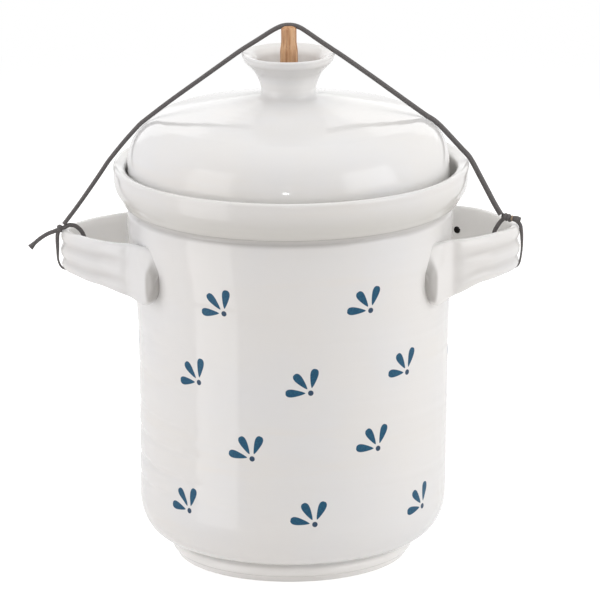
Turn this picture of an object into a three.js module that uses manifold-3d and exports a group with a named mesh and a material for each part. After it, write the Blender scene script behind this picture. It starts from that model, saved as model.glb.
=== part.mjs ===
// Fermenting crock with a press rod held down by an elastic cord.
// Millimetres, +Z up, the crock stands on its foot at Z = 0 with its axis on the Z axis.
// The handles lie along X, and the photograph looks along +Y.
import * as THREE from 'three';
import { mergeVertices } from 'three/addons/utils/BufferGeometryUtils.js';
import Module from 'manifold-3d';

// Fits and fineness
const HAIR_GAP = 0.3; // between two pieces that touch
const CUT_OVERRUN = 5; // how far a cutter runs past what it cuts
const ROUND_STEPS = 36; // facets round a thrown piece
const ROD_STEPS = 16; // facets round the rod
const CORD_SIDES = 8;
const SAME_PLACE = 1e-6; // outline points nearer than this are one

// Foot of the crock
const FOOT_RADIUS = 70.6;
const FOOT_HEIGHT = 10;
const FOOT_RING_WIDTH = 12;
const FOOT_RECESS = 4.5;
const FOOT_BEAD = 2.2; // how far the rounded upper edge of the foot stands out
const FOOT_BEAD_HEIGHT = 4.5; // from the bead's widest place up to the crease over it
const FOOT_EDGE = 1.4; // rounding where the foot meets the table

// Body of the crock
const BELLY_RADIUS = 94.5;
const BELLY_HEIGHT = 42; // top of the round lower corner
const BELLY_POWER = 2.3; // fullness of that corner, 2 is an ellipse
const WAIST_RADIUS = 96;
const WAIST_DROP = 60.5; // from the groove under the collar down to the waist
const SHOULDER_RADIUS = 99.6;
const SHOULDER_DEPTH = 14; // straight stretch under the collar
const BODY_HEIGHT = 218.5; // up to the groove under the collar
const WALL = 7;
const FLOOR_THICKNESS = 9;

// Collar of the crock: a flared ring that holds the lid in a water channel
const COLLAR_HEIGHT = 28.5;
const COLLAR_FLARE = 9.2; // how far the lip stands out past the shoulder
const COLLAR_LEDGE = 1.6; // step from the shoulder out to the collar's lower edge
const COLLAR_EDGE_ROUND = 1.8; // rounding of that edge
const COLLAR_GROOVE = 0.8; // how deep the groove under the collar is cut into the shoulder
const COLLAR_GROOVE_HEIGHT = 2.4;
const LIP_WIDTH = 7.2;
const LIP_ROUND = 2.4;
const CHANNEL_WIDTH = 11.5;
const CHANNEL_DEPTH = 21;
const CHANNEL_ROUND = 2.5;
const THROAT_WALL = 5; // inner wall of the channel
const THROAT_DROP = 4; // how far its top stays below the lip
const THROAT_TAPER = 21; // height over which the inside widens below the channel
const COLLAR_BULGE_SHARE = 0.45; // height of the collar's fullest place in the collar

// Handles: two flat straps pulled from clay, bent into loops and pressed on the wall
const HANDLE_REACH = 41.4; // from the wall's radius out to the loop's outer face
const HANDLE_SPREAD = 36; // angle in degrees from the X axis to each end
const HANDLE_THICKNESS = 7;
const HANDLE_PROUD = 5; // how far the pressed ends stand off the wall
const HANDLE_ROOT_DEPTH = 33.5; // strap width in height, at the wall
const HANDLE_GRIP_DEPTH = 26; // and at the outer end of the loop
const HANDLE_GROOVE = 0.9; // two finger grooves along the outer face
const HANDLE_DROP_LEFT = 15.5; // from the groove under the collar down to the strap's top
const HANDLE_DROP_RIGHT = 12;
const HANDLE_ROOT_DROP = 1.5; // how far the top edge sinks towards the wall
const HANDLE_CORNER_POWER = 3.4; // fullness of the strap's section
const HANDLE_STEPS = 26;
const HANDLE_SIDES = 18;
const HANDLE_HOLE_DIAMETER = 4.2; // small hole through the right strap's rear arm
const HANDLE_HOLE_DROP = 12.5; // below the right strap's top edge
const HANDLE_HOLE_ANGLE = 20.6; // degrees from the X axis, seen from the crock's axis
const HANDLE_HOLE_TURN = 31; // degrees by which the drill is turned to stand square to the strap

// Lid: a domed cap with a hollow flared knob that guides the rod
const LID_SIDE_GAP = 3.2; // from the lip's inner edge to the lid's side
const LID_WALL = 5.2;
const LID_SIDE_HEIGHT = 20; // straight side above the lid's lower edge
const LID_SHOULDER_WIDTH = 25;
const LID_SHOULDER_HEIGHT = 29.5;
const LID_SHOULDER_SWEEP = 77; // degrees of the shoulder's arc before the dome goes on straight
const LID_EDGE_ROUND = 1.6;
const DOME_RISE = 13.6; // from the shoulder's end up to the foot of the neck
const NECK_RADIUS = 16.8;
const NECK_FILLET = 4.5;
const KNOB_HEIGHT = 26.4; // from the foot of the neck to the knob's lip
const KNOB_RADIUS = 28.5;
const KNOB_LIP_HEIGHT = 4.6;
const KNOB_LIP_ROUND = 1.2;
const FUNNEL_DEPTH = 20;
const FUNNEL_MOUTH_WIDTH = 3.2; // width of the rounded lip
const FUNNEL_THROAT_RADIUS = 11;

// Press: a turned rod with a round plate on its lower end
const ROD_DIAMETER = 10.8;
const ROD_TIP_DIAMETER = 9.4;
const ROD_TIP_LENGTH = 9;
const ROD_TAPER_LENGTH = 5;
const ROD_TIP_ROUND = 2.2;
const ROD_STANDS_OUT = 16.8; // above the knob's lip, with the plate on the crock's floor
const ROD_GUIDE_GAP = 1.4; // all round, in the lid's bore
const PLATE_GAP = 6.5; // from the plate's edge to the narrowest place inside the crock
const PLATE_THICKNESS = 13;
const PLATE_EDGE_ROUND = 4;
const PLATE_BOSS_RADIUS = 17;
const PLATE_BOSS_HEIGHT = 14;
const SOCKET_FLOOR = 5; // wood left under the rod's end

// Elastic cord
const CORD_DIAMETER = 2.3;
const CORD_NOTCH_DEPTH = 1.6;
const KNOT_RADIUS = 2.7;
const KNOT_LENGTH = 5.4;

// Colours seen in the photograph
const GLAZE_COLOUR = 0xe4e3e0;
const WOOD_COLOUR = 0xc99a6b;
const CORD_COLOUR = 0x5b5a5a;

const wasm = await Module();
wasm.setup();

// Heights and radii that several pieces share
const lipHeight = BODY_HEIGHT + COLLAR_HEIGHT;
const lipRadius = SHOULDER_RADIUS + COLLAR_FLARE;
const lipInnerRadius = lipRadius - LIP_WIDTH;
const channelFloor = lipHeight - CHANNEL_DEPTH;
const throatOuterRadius = lipInnerRadius - CHANNEL_WIDTH;
const throatRadius = throatOuterRadius - THROAT_WALL;
const throatTop = lipHeight - THROAT_DROP;
const waistHeight = BODY_HEIGHT - WAIST_DROP;
const narrowestInside = Math.min(throatRadius, BELLY_RADIUS - WALL, WAIST_RADIUS - WALL);
const crockFloor = FOOT_RECESS + FLOOR_THICKNESS;
const lidRadius = lipInnerRadius - LID_SIDE_GAP;
const lidBase = channelFloor + HAIR_GAP;
const shoulderBase = lidBase + LID_SIDE_HEIGHT;
const rodRadius = ROD_DIAMETER / 2;
const boreRadius = rodRadius + ROD_GUIDE_GAP;
const cordRadius = CORD_DIAMETER / 2;

// A point of an outline: radius from the axis and height
const at = (radius, height) => new THREE.Vector2(radius, height);

// A smooth run through a few places
const through = (places, steps) => new THREE.SplineCurve(places).getPoints(steps);

// A rounded corner between two places, bending towards a third
const corner = (from, towards, to, steps) =>
  new THREE.QuadraticBezierCurve(from, towards, to).getPoints(steps);

// A piece of an elliptic or fuller arc round a centre; angles in degrees from the radius
function arc(centre, halfWidth, halfHeight, startAngle, endAngle, steps, power = 2) {
  const points = [];
  for (let i = 0; i <= steps; i += 1) {
    const angle = THREE.MathUtils.degToRad(startAngle + ((endAngle - startAngle) * i) / steps);
    const cosine = Math.cos(angle);
    const sine = Math.sin(angle);
    const across = Math.sign(cosine) * Math.abs(cosine) ** (2 / power);
    const up = Math.sign(sine) * Math.abs(sine) ** (2 / power);
    points.push(at(centre.x + halfWidth * across, centre.y + halfHeight * up));
  }
  return points;
}

// A quarter circle that rounds off a corner at its outer radius and top height
const roundEdge = (edge, radius) => arc(at(edge.x - radius, edge.y - radius), radius, radius, 0, 90, 3);

// Leaves out points that repeat the one before
function distinct(points) {
  return points.filter((point, i) => i === 0 || point.distanceTo(points[i - 1]) > SAME_PLACE);
}

// A solid of revolution round the Z axis
function turned(points, steps = ROUND_STEPS) {
  const geometry = new THREE.LatheGeometry(distinct(points), steps);
  return geometry.rotateX(Math.PI / 2);
}

// A closed body through rings of points, each ring turning right-handed about the way it runs
function lofted(rings) {
  const sides = rings[0].length;
  const positions = [];
  const indices = [];
  for (const ring of rings) {
    for (const point of ring) positions.push(point.x, point.y, point.z);
  }
  for (let r = 0; r < rings.length - 1; r += 1) {
    for (let s = 0; s < sides; s += 1) {
      const a = r * sides + s;
      const b = r * sides + ((s + 1) % sides);
      indices.push(a, b, b + sides, a, b + sides, a + sides);
    }
  }
  const last = (rings.length - 1) * sides;
  for (let s = 1; s < sides - 1; s += 1) {
    indices.push(0, s + 1, s);
    indices.push(last, last + s, last + s + 1);
  }
  const geometry = new THREE.BufferGeometry();
  geometry.setAttribute('position', new THREE.Float32BufferAttribute(positions, 3));
  geometry.setIndex(indices);
  return geometry;
}

// Joins and cuts closed meshes
function toSolid(geometry) {
  const bare = geometry.clone();
  bare.deleteAttribute('normal');
  bare.deleteAttribute('uv');
  const merged = mergeVertices(bare);
  const index = merged.index.array;
  const triangles = [];
  for (let i = 0; i < index.length; i += 3) {
    const [a, b, c] = [index[i], index[i + 1], index[i + 2]];
    if (a !== b && b !== c && c !== a) triangles.push(a, b, c);
  }
  return new wasm.Manifold(
    new wasm.Mesh({
      numProp: 3,
      vertProperties: new Float32Array(merged.attributes.position.array),
      triVerts: new Uint32Array(triangles),
    }),
  );
}

function toGeometry(solid) {
  const { vertProperties, triVerts } = solid.getMesh();
  const geometry = new THREE.BufferGeometry();
  geometry.setAttribute('position', new THREE.BufferAttribute(vertProperties, 3));
  geometry.setIndex(new THREE.BufferAttribute(triVerts, 1));
  return geometry;
}

const cutAway = (geometry, ...cutters) =>
  toGeometry(cutters.reduce((solid, cutter) => solid.subtract(toSolid(cutter)), toSolid(geometry)));

// Outer face of the crock's body, from the foot's crease up to a drop below the body's top
function bodyFace(offset, drop) {
  const creaseRadius = FOOT_RADIUS + offset;
  const belly = arc(
    at(creaseRadius, BELLY_HEIGHT),
    BELLY_RADIUS + offset - creaseRadius,
    BELLY_HEIGHT - FOOT_HEIGHT,
    -90,
    0,
    8,
    BELLY_POWER,
  );
  const side = through(
    [
      at(BELLY_RADIUS + offset, BELLY_HEIGHT),
      at(WAIST_RADIUS + offset, waistHeight),
      at(SHOULDER_RADIUS + offset, BODY_HEIGHT - SHOULDER_DEPTH),
      at(SHOULDER_RADIUS + offset, BODY_HEIGHT - drop),
    ],
    7,
  );
  return [...belly, ...side];
}

// Inner face of the crock's round lower corner, from the wall down to the flat floor
function floorCorner() {
  return arc(
    at(FOOT_RADIUS - WALL, BELLY_HEIGHT),
    BELLY_RADIUS - FOOT_RADIUS,
    BELLY_HEIGHT - crockFloor,
    0,
    -90,
    8,
    BELLY_POWER,
  );
}

// Height of a falling outline at a radius
function heightAt(outline, radius) {
  for (let i = 1; i < outline.length; i += 1) {
    const [upper, lower] = [outline[i - 1], outline[i]];
    if (radius >= lower.x) {
      return THREE.MathUtils.mapLinear(radius, lower.x, upper.x, lower.y, upper.y);
    }
  }
  return outline[outline.length - 1].y;
}

function crockBody() {
  const ringInner = FOOT_RADIUS - FOOT_RING_WIDTH;
  const beadRadius = FOOT_RADIUS + FOOT_BEAD;
  const foot = [
    at(0, FOOT_RECESS),
    at(ringInner - FOOT_RECESS, FOOT_RECESS),
    at(ringInner, 0),
    ...corner(at(FOOT_RADIUS - FOOT_EDGE, 0), at(FOOT_RADIUS, 0), at(FOOT_RADIUS, FOOT_EDGE), 2),
    ...corner(
      at(beadRadius, FOOT_HEIGHT - FOOT_BEAD_HEIGHT),
      at(beadRadius, FOOT_HEIGHT),
      at(FOOT_RADIUS, FOOT_HEIGHT),
      3,
    ),
  ];
  const grooveFloor = SHOULDER_RADIUS - COLLAR_GROOVE;
  const collarEdge = SHOULDER_RADIUS + COLLAR_LEDGE;
  const groove = [
    at(grooveFloor, BODY_HEIGHT - COLLAR_GROOVE_HEIGHT / 2),
    at(grooveFloor, BODY_HEIGHT),
  ];
  const collarBase = at(collarEdge, BODY_HEIGHT + COLLAR_EDGE_ROUND);
  const collarFoot = corner(
    at(collarEdge - COLLAR_EDGE_ROUND, BODY_HEIGHT),
    at(collarEdge, BODY_HEIGHT),
    collarBase,
    2,
  );
  const lipOuter = at(lipRadius, lipHeight - LIP_ROUND);
  const collarBulge = at(lipRadius - COLLAR_LEDGE, BODY_HEIGHT + COLLAR_HEIGHT * COLLAR_BULGE_SHARE);
  const collarFace = corner(collarBase, collarBulge, lipOuter, 5);
  const lip = [
    ...corner(lipOuter, at(lipRadius, lipHeight), at(lipRadius - LIP_ROUND, lipHeight), 3),
    ...corner(
      at(lipInnerRadius + LIP_ROUND, lipHeight - LIP_ROUND / 3),
      at(lipInnerRadius, lipHeight - LIP_ROUND / 2),
      at(lipInnerRadius, lipHeight - LIP_ROUND * 2),
      3,
    ),
  ];
  const channel = [
    at(lipInnerRadius, channelFloor + CHANNEL_ROUND),
    at(lipInnerRadius - CHANNEL_ROUND, channelFloor),
    at(throatOuterRadius + CHANNEL_ROUND, channelFloor),
    at(throatOuterRadius, channelFloor + CHANNEL_ROUND),
  ];
  const throatCentre = (throatOuterRadius + throatRadius) / 2;
  const half = THROAT_WALL / 2;
  const throat = arc(at(throatCentre, throatTop - half), half, half, 0, 180, 6);
  const innerShoulder = SHOULDER_RADIUS - WALL;
  const inside = [
    ...corner(
      at(throatRadius, channelFloor),
      at(throatRadius, channelFloor - WALL),
      at(innerShoulder, channelFloor - THROAT_TAPER),
      4,
    ),
    ...through(
      [
        at(innerShoulder, channelFloor - THROAT_TAPER),
        at(WAIST_RADIUS - WALL, waistHeight),
        at(BELLY_RADIUS - WALL, BELLY_HEIGHT),
      ],
      5,
    ),
    ...floorCorner(),
    at(0, crockFloor),
  ];
  return turned([
    ...foot,
    ...bodyFace(0, COLLAR_GROOVE_HEIGHT),
    ...groove,
    ...collarFoot,
    ...collarFace,
    ...lip,
    ...channel,
    ...throat,
    ...inside,
  ]);
}

// A plain round solid as wide as the crock and its hair gap, to trim the handles to the wall
function wallCutter() {
  return turned([at(0, FOOT_HEIGHT), ...bodyFace(HAIR_GAP, 0), at(0, BODY_HEIGHT)]);
}

// Middle line of a handle's loop in plan, on the +X side, from the front end to the rear end.
// Each pair of shares gives how far the line has come out from the wall and across to its end.
const LOOP_REACH_SHARES = [0.38, 0.54, 0.7, 0.84, 0.955, 1];
const LOOP_ACROSS_SHARES = [0.64, 0.55, 0.43, 0.29, 0.155, 0];
const PRESSED_ANGLE_SHARE = 0.64; // of the spread, where the strap starts to leave the wall
const PRESSED_LIFT_SHARE = 0.4; // of its thickness, how far it has left the wall there

function handleLine() {
  const spread = THREE.MathUtils.degToRad(HANDLE_SPREAD);
  const endRadius = SHOULDER_RADIUS + HANDLE_PROUD - HANDLE_THICKNESS / 2;
  const end = new THREE.Vector3(endRadius * Math.cos(spread), -endRadius * Math.sin(spread), 0);
  const outer = SHOULDER_RADIUS + HANDLE_REACH - HANDLE_THICKNESS / 2;
  const leaving = spread * PRESSED_ANGLE_SHARE;
  const leavingRadius = endRadius + HANDLE_THICKNESS * PRESSED_LIFT_SHARE;
  const near = new THREE.Vector3(leavingRadius * Math.cos(leaving), -leavingRadius * Math.sin(leaving), 0);
  const front = [end, near];
  LOOP_REACH_SHARES.forEach((reach, i) => {
    const x = end.x + (outer - end.x) * reach;
    front.push(new THREE.Vector3(x, end.y * LOOP_ACROSS_SHARES[i], 0));
  });
  const rear = front
    .slice(0, -1)
    .reverse()
    .map((point) => new THREE.Vector3(point.x, -point.y, 0));
  return new THREE.CatmullRomCurve3([...front, ...rear], false, 'centripetal');
}

// Section of the strap: a full oval box whose outer face carries two finger grooves
const GROOVE_PLACE_SHARES = [-0.34, 0.3];
const GROOVE_WIDTH_SHARE = 0.13;

// How far along the half loop, from its middle, the strap widens and its end rounds off
const WIDENING_SHARES = [0.25, 0.85];
const END_START_SHARE = 0.86;
const END_DEPTH_SHARE = 0.3; // of the strap's depth, left at its very end
const END_CROWDING_SHARE = 0.5; // by which the sections lie closer together at the ends

function strapSection(depth) {
  const points = [];
  for (let s = 0; s < HANDLE_SIDES; s += 1) {
    const angle = (-2 * Math.PI * s) / HANDLE_SIDES;
    const cosine = Math.cos(angle);
    const sine = Math.sin(angle);
    const power = 2 / HANDLE_CORNER_POWER;
    const out = Math.sign(cosine) * Math.abs(cosine) ** power;
    const up = Math.sign(sine) * Math.abs(sine) ** power;
    let groove = 0;
    if (out > 0) {
      for (const place of GROOVE_PLACE_SHARES) {
        groove += HANDLE_GROOVE * Math.exp(-(((up / 2 - place) / GROOVE_WIDTH_SHARE) ** 2));
      }
    }
    points.push([(HANDLE_THICKNESS / 2) * out - groove, (depth / 2) * up]);
  }
  return points;
}

function handle(side, drop) {
  const line = handleLine();
  const top = BODY_HEIGHT - drop;
  const rings = [];
  for (let i = 0; i <= HANDLE_STEPS; i += 1) {
    const step = (2 * Math.PI * i) / HANDLE_STEPS;
    const crowded = (step - END_CROWDING_SHARE * Math.sin(step)) / (2 * Math.PI);
    const share = THREE.MathUtils.clamp(crowded, 0, 1);
    const fromMiddle = Math.abs(2 * share - 1);
    const towardsWall = THREE.MathUtils.smoothstep(fromMiddle, ...WIDENING_SHARES);
    const towardsEnd = Math.max(0, fromMiddle - END_START_SHARE) / (1 - END_START_SHARE);
    const endRounding = Math.sqrt(1 - (1 - END_DEPTH_SHARE ** 2) * towardsEnd ** 2);
    const fullDepth = THREE.MathUtils.lerp(HANDLE_GRIP_DEPTH, HANDLE_ROOT_DEPTH, towardsWall);
    const centre = top - HANDLE_ROOT_DROP * towardsWall - fullDepth / 2;
    const place = line.getPointAt(share);
    const tangent = line.getTangentAt(share);
    const outward = new THREE.Vector3(tangent.y, -tangent.x, 0);
    const ring = strapSection(fullDepth * endRounding).map(([out, up]) => {
      const point = place.clone().addScaledVector(outward, out);
      return new THREE.Vector3(side * point.x, side * point.y, centre + up);
    });
    rings.push(ring);
  }
  return lofted(rings);
}

// Small round hole through the rear arm of the right strap
function handleHole() {
  const angle = THREE.MathUtils.degToRad(HANDLE_HOLE_ANGLE);
  const drill = new THREE.CylinderGeometry(
    HANDLE_HOLE_DIAMETER / 2,
    HANDLE_HOLE_DIAMETER / 2,
    HANDLE_THICKNESS + 2 * CUT_OVERRUN,
    10,
  );
  const reach = SHOULDER_RADIUS + HANDLE_PROUD + HANDLE_THICKNESS / 2;
  const height = BODY_HEIGHT - HANDLE_DROP_RIGHT - HANDLE_HOLE_DROP;
  return drill
    .rotateZ(THREE.MathUtils.degToRad(-HANDLE_HOLE_TURN))
    .translate(reach * Math.cos(angle), reach * Math.sin(angle), height);
}

// Lid outlines. The dome's outer face and its inner face share the shoulder's centre.
function lidOutline() {
  const shoulderCentre = at(lidRadius - LID_SHOULDER_WIDTH, shoulderBase);
  const [width, height] = [LID_SHOULDER_WIDTH, LID_SHOULDER_HEIGHT];
  const shoulder = arc(shoulderCentre, width, height, 0, LID_SHOULDER_SWEEP, 8);
  const domeStart = shoulder[shoulder.length - 1];
  const neckFoot = domeStart.y + DOME_RISE;
  const knobLip = neckFoot + KNOB_HEIGHT;
  return { shoulderCentre, shoulder, domeStart, neckFoot, knobLip };
}

const lidShape = lidOutline();
const rodTop = lidShape.knobLip + ROD_STANDS_OUT;

// Outer face of the knob, as shares of its flare and height, from the neck up to the rolled lip
const KNOB_FLARE_SHARES = [0, 0.06, 0.18, 0.31, 0.54, 0.74];
const KNOB_RISE_SHARES = [0.2, 0.3, 0.44, 0.55, 0.67, 0.76];
const KNOB_UNDERCUT_SHARE = 0.88; // of the flare, right under the rolled lip

// Inner face of the knob, as shares of the way in from mouth to throat and of the funnel's depth
const FUNNEL_IN_SHARES = [0, 0.35, 0.79, 1];
const FUNNEL_DOWN_SHARES = [0.04, 0.35, 0.7, 0.9];

function lid() {
  const { shoulderCentre, shoulder, domeStart, neckFoot, knobLip } = lidShape;
  const flare = KNOB_RADIUS - NECK_RADIUS;
  const lipBottom = knobLip - KNOB_LIP_HEIGHT;
  const flaring = KNOB_FLARE_SHARES.map((share, i) => {
    const rise = KNOB_HEIGHT * KNOB_RISE_SHARES[i];
    return at(NECK_RADIUS + flare * share, neckFoot + rise);
  });
  const knobFace = through([...flaring, at(NECK_RADIUS + flare * KNOB_UNDERCUT_SHARE, lipBottom)], 8);
  const knobEdge = corner(
    at(KNOB_RADIUS, knobLip - KNOB_LIP_ROUND),
    at(KNOB_RADIUS, knobLip),
    at(KNOB_RADIUS - KNOB_LIP_ROUND, knobLip),
    3,
  );
  const mouthRadius = KNOB_RADIUS - FUNNEL_MOUTH_WIDTH;
  const narrowing = FUNNEL_IN_SHARES.map((share, i) => {
    const radius = THREE.MathUtils.lerp(mouthRadius, FUNNEL_THROAT_RADIUS, share);
    return at(radius, knobLip - FUNNEL_DEPTH * FUNNEL_DOWN_SHARES[i]);
  });
  const funnel = through([...narrowing, at(boreRadius, knobLip - FUNNEL_DEPTH)], 9);
  const ceiling = neckFoot - LID_WALL;
  const innerShoulder = arc(
    shoulderCentre,
    LID_SHOULDER_WIDTH - LID_WALL,
    LID_SHOULDER_HEIGHT - LID_WALL,
    LID_SHOULDER_SWEEP,
    0,
    6,
  );
  const filletOut = 2 * NECK_FILLET;
  const filletFall = (filletOut * DOME_RISE) / (domeStart.x - NECK_RADIUS);
  const lowerEdge = corner(
    at(lidRadius - LID_EDGE_ROUND, lidBase),
    at(lidRadius, lidBase),
    at(lidRadius, lidBase + LID_EDGE_ROUND),
    2,
  );
  return turned([
    ...lowerEdge,
    ...shoulder,
    ...corner(
      at(NECK_RADIUS + filletOut, neckFoot - filletFall),
      at(NECK_RADIUS, neckFoot),
      at(NECK_RADIUS, neckFoot + NECK_FILLET),
      4,
    ),
    ...knobFace,
    ...knobEdge,
    ...funnel,
    at(boreRadius, ceiling),
    ...innerShoulder,
    at(lidRadius - LID_WALL, lidBase + LID_EDGE_ROUND),
    at(lidRadius - LID_WALL + LID_EDGE_ROUND, lidBase),
    lowerEdge[0],
  ]);
}

// The plate rests on the round corner of the crock's floor, near its own edge
const plateRadius = narrowestInside - PLATE_GAP;
const plateLowerEdge = arc(
  at(plateRadius - PLATE_EDGE_ROUND, PLATE_EDGE_ROUND),
  PLATE_EDGE_ROUND,
  PLATE_EDGE_ROUND,
  -90,
  0,
  3,
);
const cornerHeights = plateLowerEdge.map((edge) => heightAt(floorCorner(), edge.x) - edge.y);
const plateBase = Math.max(...cornerHeights) + HAIR_GAP;

// Press rod: straight shank, short taper, slimmer tip with a notch for the cord
const rodBase = plateBase + SOCKET_FLOOR + HAIR_GAP;

function pressRod() {
  const tipRadius = ROD_TIP_DIAMETER / 2;
  const taperTop = rodTop - ROD_TIP_LENGTH;
  const taperBase = taperTop - ROD_TAPER_LENGTH;
  const blank = turned(
    [
      at(0, rodBase),
      at(rodRadius, rodBase),
      at(rodRadius, taperBase),
      at(tipRadius, taperTop),
      ...roundEdge(at(tipRadius, rodTop), ROD_TIP_ROUND),
      at(0, rodTop),
    ],
    ROD_STEPS,
  );
  const half = cordRadius + HAIR_GAP;
  const notch = new THREE.Shape();
  const floor = rodTop - CORD_NOTCH_DEPTH + half;
  notch.moveTo(-half, rodTop + CUT_OVERRUN);
  notch.lineTo(-half, floor);
  notch.absarc(0, floor, half, Math.PI, 2 * Math.PI, false);
  notch.lineTo(half, rodTop + CUT_OVERRUN);
  const cutter = new THREE.ExtrudeGeometry(notch, {
    depth: ROD_DIAMETER + 2 * CUT_OVERRUN,
    bevelEnabled: false,
    curveSegments: 6,
  });
  cutter
    .translate(0, 0, -rodRadius - CUT_OVERRUN)
    .rotateX(Math.PI / 2)
    .rotateZ(Math.PI / 2);
  return cutAway(blank, cutter);
}

function pressPlate() {
  const top = plateBase + PLATE_THICKNESS;
  const bossTop = top + PLATE_BOSS_HEIGHT;
  const socketRadius = rodRadius + HAIR_GAP;
  return turned([
    at(0, plateBase),
    ...plateLowerEdge.map((edge) => at(edge.x, plateBase + edge.y)),
    ...roundEdge(at(plateRadius, top), PLATE_EDGE_ROUND),
    ...corner(
      at(PLATE_BOSS_RADIUS + PLATE_EDGE_ROUND, top),
      at(PLATE_BOSS_RADIUS, top),
      at(PLATE_BOSS_RADIUS, top + PLATE_EDGE_ROUND),
      2,
    ),
    ...roundEdge(at(PLATE_BOSS_RADIUS, bossTop), PLATE_EDGE_ROUND),
    at(socketRadius, bossTop),
    at(socketRadius, plateBase + SOCKET_FLOOR),
    at(0, plateBase + SOCKET_FLOOR),
  ]);
}

// Route of the cord's main span, chosen by hand, from the left knot over the collar's lip,
// the lid's shoulder, the knob's lip and the rod's notch, and down the other side
const SPAN_ROUTE = [
  [-138.6, 0, 208.2],
  [-129.9, 0, 219.8],
  [-116.7, 0, 238.8],
  [-111.2, 0, 247.1],
  [-108.4, 0, 250.8],
  [-100.6, 0, 260.4],
  [-93.4, 0, 268.5],
  [-91, 0, 271],
  [-88.1, 0, 273.4],
  [-73.4, 0, 284.7],
  [-52, 0, 300.2],
  [-31.5, 0, 315],
  [-28.6, 0, 317],
  [-18, 0, 323.7],
  [-7.8, 0, 330.3],
  [-5.4, 0, 331.8],
  [-3.2, 0, 332.1],
  [0, 0, 332.1],
  [3.2, 0, 332.1],
  [5.4, 0, 331.8],
  [7.8, -0.4, 330.2],
  [18, -1.9, 323.2],
  [27.4, -3.3, 317],
  [30.4, -3.4, 315],
  [52, -2.4, 299.2],
  [73, -1.4, 283.3],
  [84, -0.8, 275.1],
  [87.3, -0.6, 273],
  [90.3, -0.4, 270.5],
  [93, -0.2, 267.8],
  [105.5, 0, 253.9],
  [109, 0, 250.1],
  [111.5, 0, 246.2],
  [115.8, 0, 237.9],
  [120.7, 0, 228.3],
  [125.8, 0, 218.4],
  [129, 0, 212.9],
];
const SPAN_STEPS = 62;
const LOOP_STEPS = 22;

// Routes of the two loops that go round the straps, of the left tail and of the right end
const LEFT_LOOP_ROUTE = [
  [-138.2, 0, 206.2],
  [-135.4, 0, 207.6],
  [-131.6, 0, 207],
  [-128.1, 0, 203.9],
  [-126.2, 0, 199.4],
  [-126.2, 0.5, 190],
  [-127.2, 1, 182],
  [-130.4, 2, 176.8],
  [-135.5, 3, 175.1],
  [-140.6, 3.6, 176.5],
  [-142.7, 3.8, 182.4],
  [-142.8, 3, 192],
  [-142.8, 1.4, 199],
  [-142.5, 0.4, 202],
];
const RIGHT_LOOP_ROUTE = [
  [129.2, 0, 208.4],
  [127.2, 0, 205.6],
  [125.4, 0, 202.2],
  [124.4, 0, 196],
  [124.8, 0, 188.5],
  [127.4, -0.4, 182],
  [131.6, -0.8, 179],
  [136.8, -1.2, 178.7],
  [141, -1.6, 181.2],
  [142.7, -1.8, 188],
  [142.8, -1.6, 197],
  [142.4, -1.4, 203.2],
  [140.9, -1.2, 206.4],
];
const LEFT_TAIL_ROUTE = [
  [-144.4, 0, 203.8],
  [-148.5, -0.4, 202.3],
  [-153, -0.8, 199.6],
  [-156.6, -1, 196.6],
  [-159.3, -1.2, 193.9],
];
const RIGHT_END_ROUTE = [
  [135.6, -0.4, 210.3],
  [137.4, -0.8, 210],
  [139.4, -1.2, 209.5],
];
const LEFT_KNOT = [-141.2, 0, 205.3];
const RIGHT_KNOT = [132.5, 0, 210.6];

// A round cord along a route
function cordAlong(route, steps) {
  const section = new THREE.Shape();
  for (let s = 0; s < CORD_SIDES; s += 1) {
    const angle = (2 * Math.PI * s) / CORD_SIDES;
    const place = [cordRadius * Math.cos(angle), cordRadius * Math.sin(angle)];
    if (s === 0) section.moveTo(...place);
    else section.lineTo(...place);
  }
  const places = route.map((point) => new THREE.Vector3(...point));
  const curve = new THREE.CatmullRomCurve3(places, false, 'centripetal');
  return new THREE.ExtrudeGeometry(section, { steps, extrudePath: curve, bevelEnabled: false });
}

// A knot drawn tight: two fat turns side by side along X.
// Each pair of shares gives a place along half its length and its radius.
const KNOT_ALONG_SHARES = [-1, -0.88, -0.46, 0, 0.46, 0.88, 1];
const KNOT_RADIUS_SHARES = [0.3, 0.86, 1, 0.86, 1, 0.86, 0.3];

function knot() {
  const half = KNOT_LENGTH / 2;
  const outline = KNOT_ALONG_SHARES.map((share, i) => at(KNOT_RADIUS * KNOT_RADIUS_SHARES[i], half * share));
  return turned([at(0, -half), ...through(outline, 12), at(0, half)], 12).rotateY(Math.PI / 2);
}

function mesh(name, geometry, material) {
  const piece = new THREE.Mesh(geometry, material);
  piece.name = name;
  return piece;
}

const glaze = new THREE.MeshStandardMaterial({ color: GLAZE_COLOUR, roughness: 0.12, metalness: 0 });
const wood = new THREE.MeshStandardMaterial({ color: WOOD_COLOUR, roughness: 0.6, metalness: 0 });
const elastic = new THREE.MeshStandardMaterial({ color: CORD_COLOUR, roughness: 0.85, metalness: 0 });

const crock = new THREE.Group();
crock.add(mesh('crock_body', crockBody(), glaze));
crock.add(mesh('handle_left', cutAway(handle(-1, HANDLE_DROP_LEFT), wallCutter()), glaze));
crock.add(mesh('handle_right', cutAway(handle(1, HANDLE_DROP_RIGHT), wallCutter(), handleHole()), glaze));

const press = new THREE.Group();
press.add(mesh('press_rod', pressRod(), wood));
press.add(mesh('press_plate', pressPlate(), wood));

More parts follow.
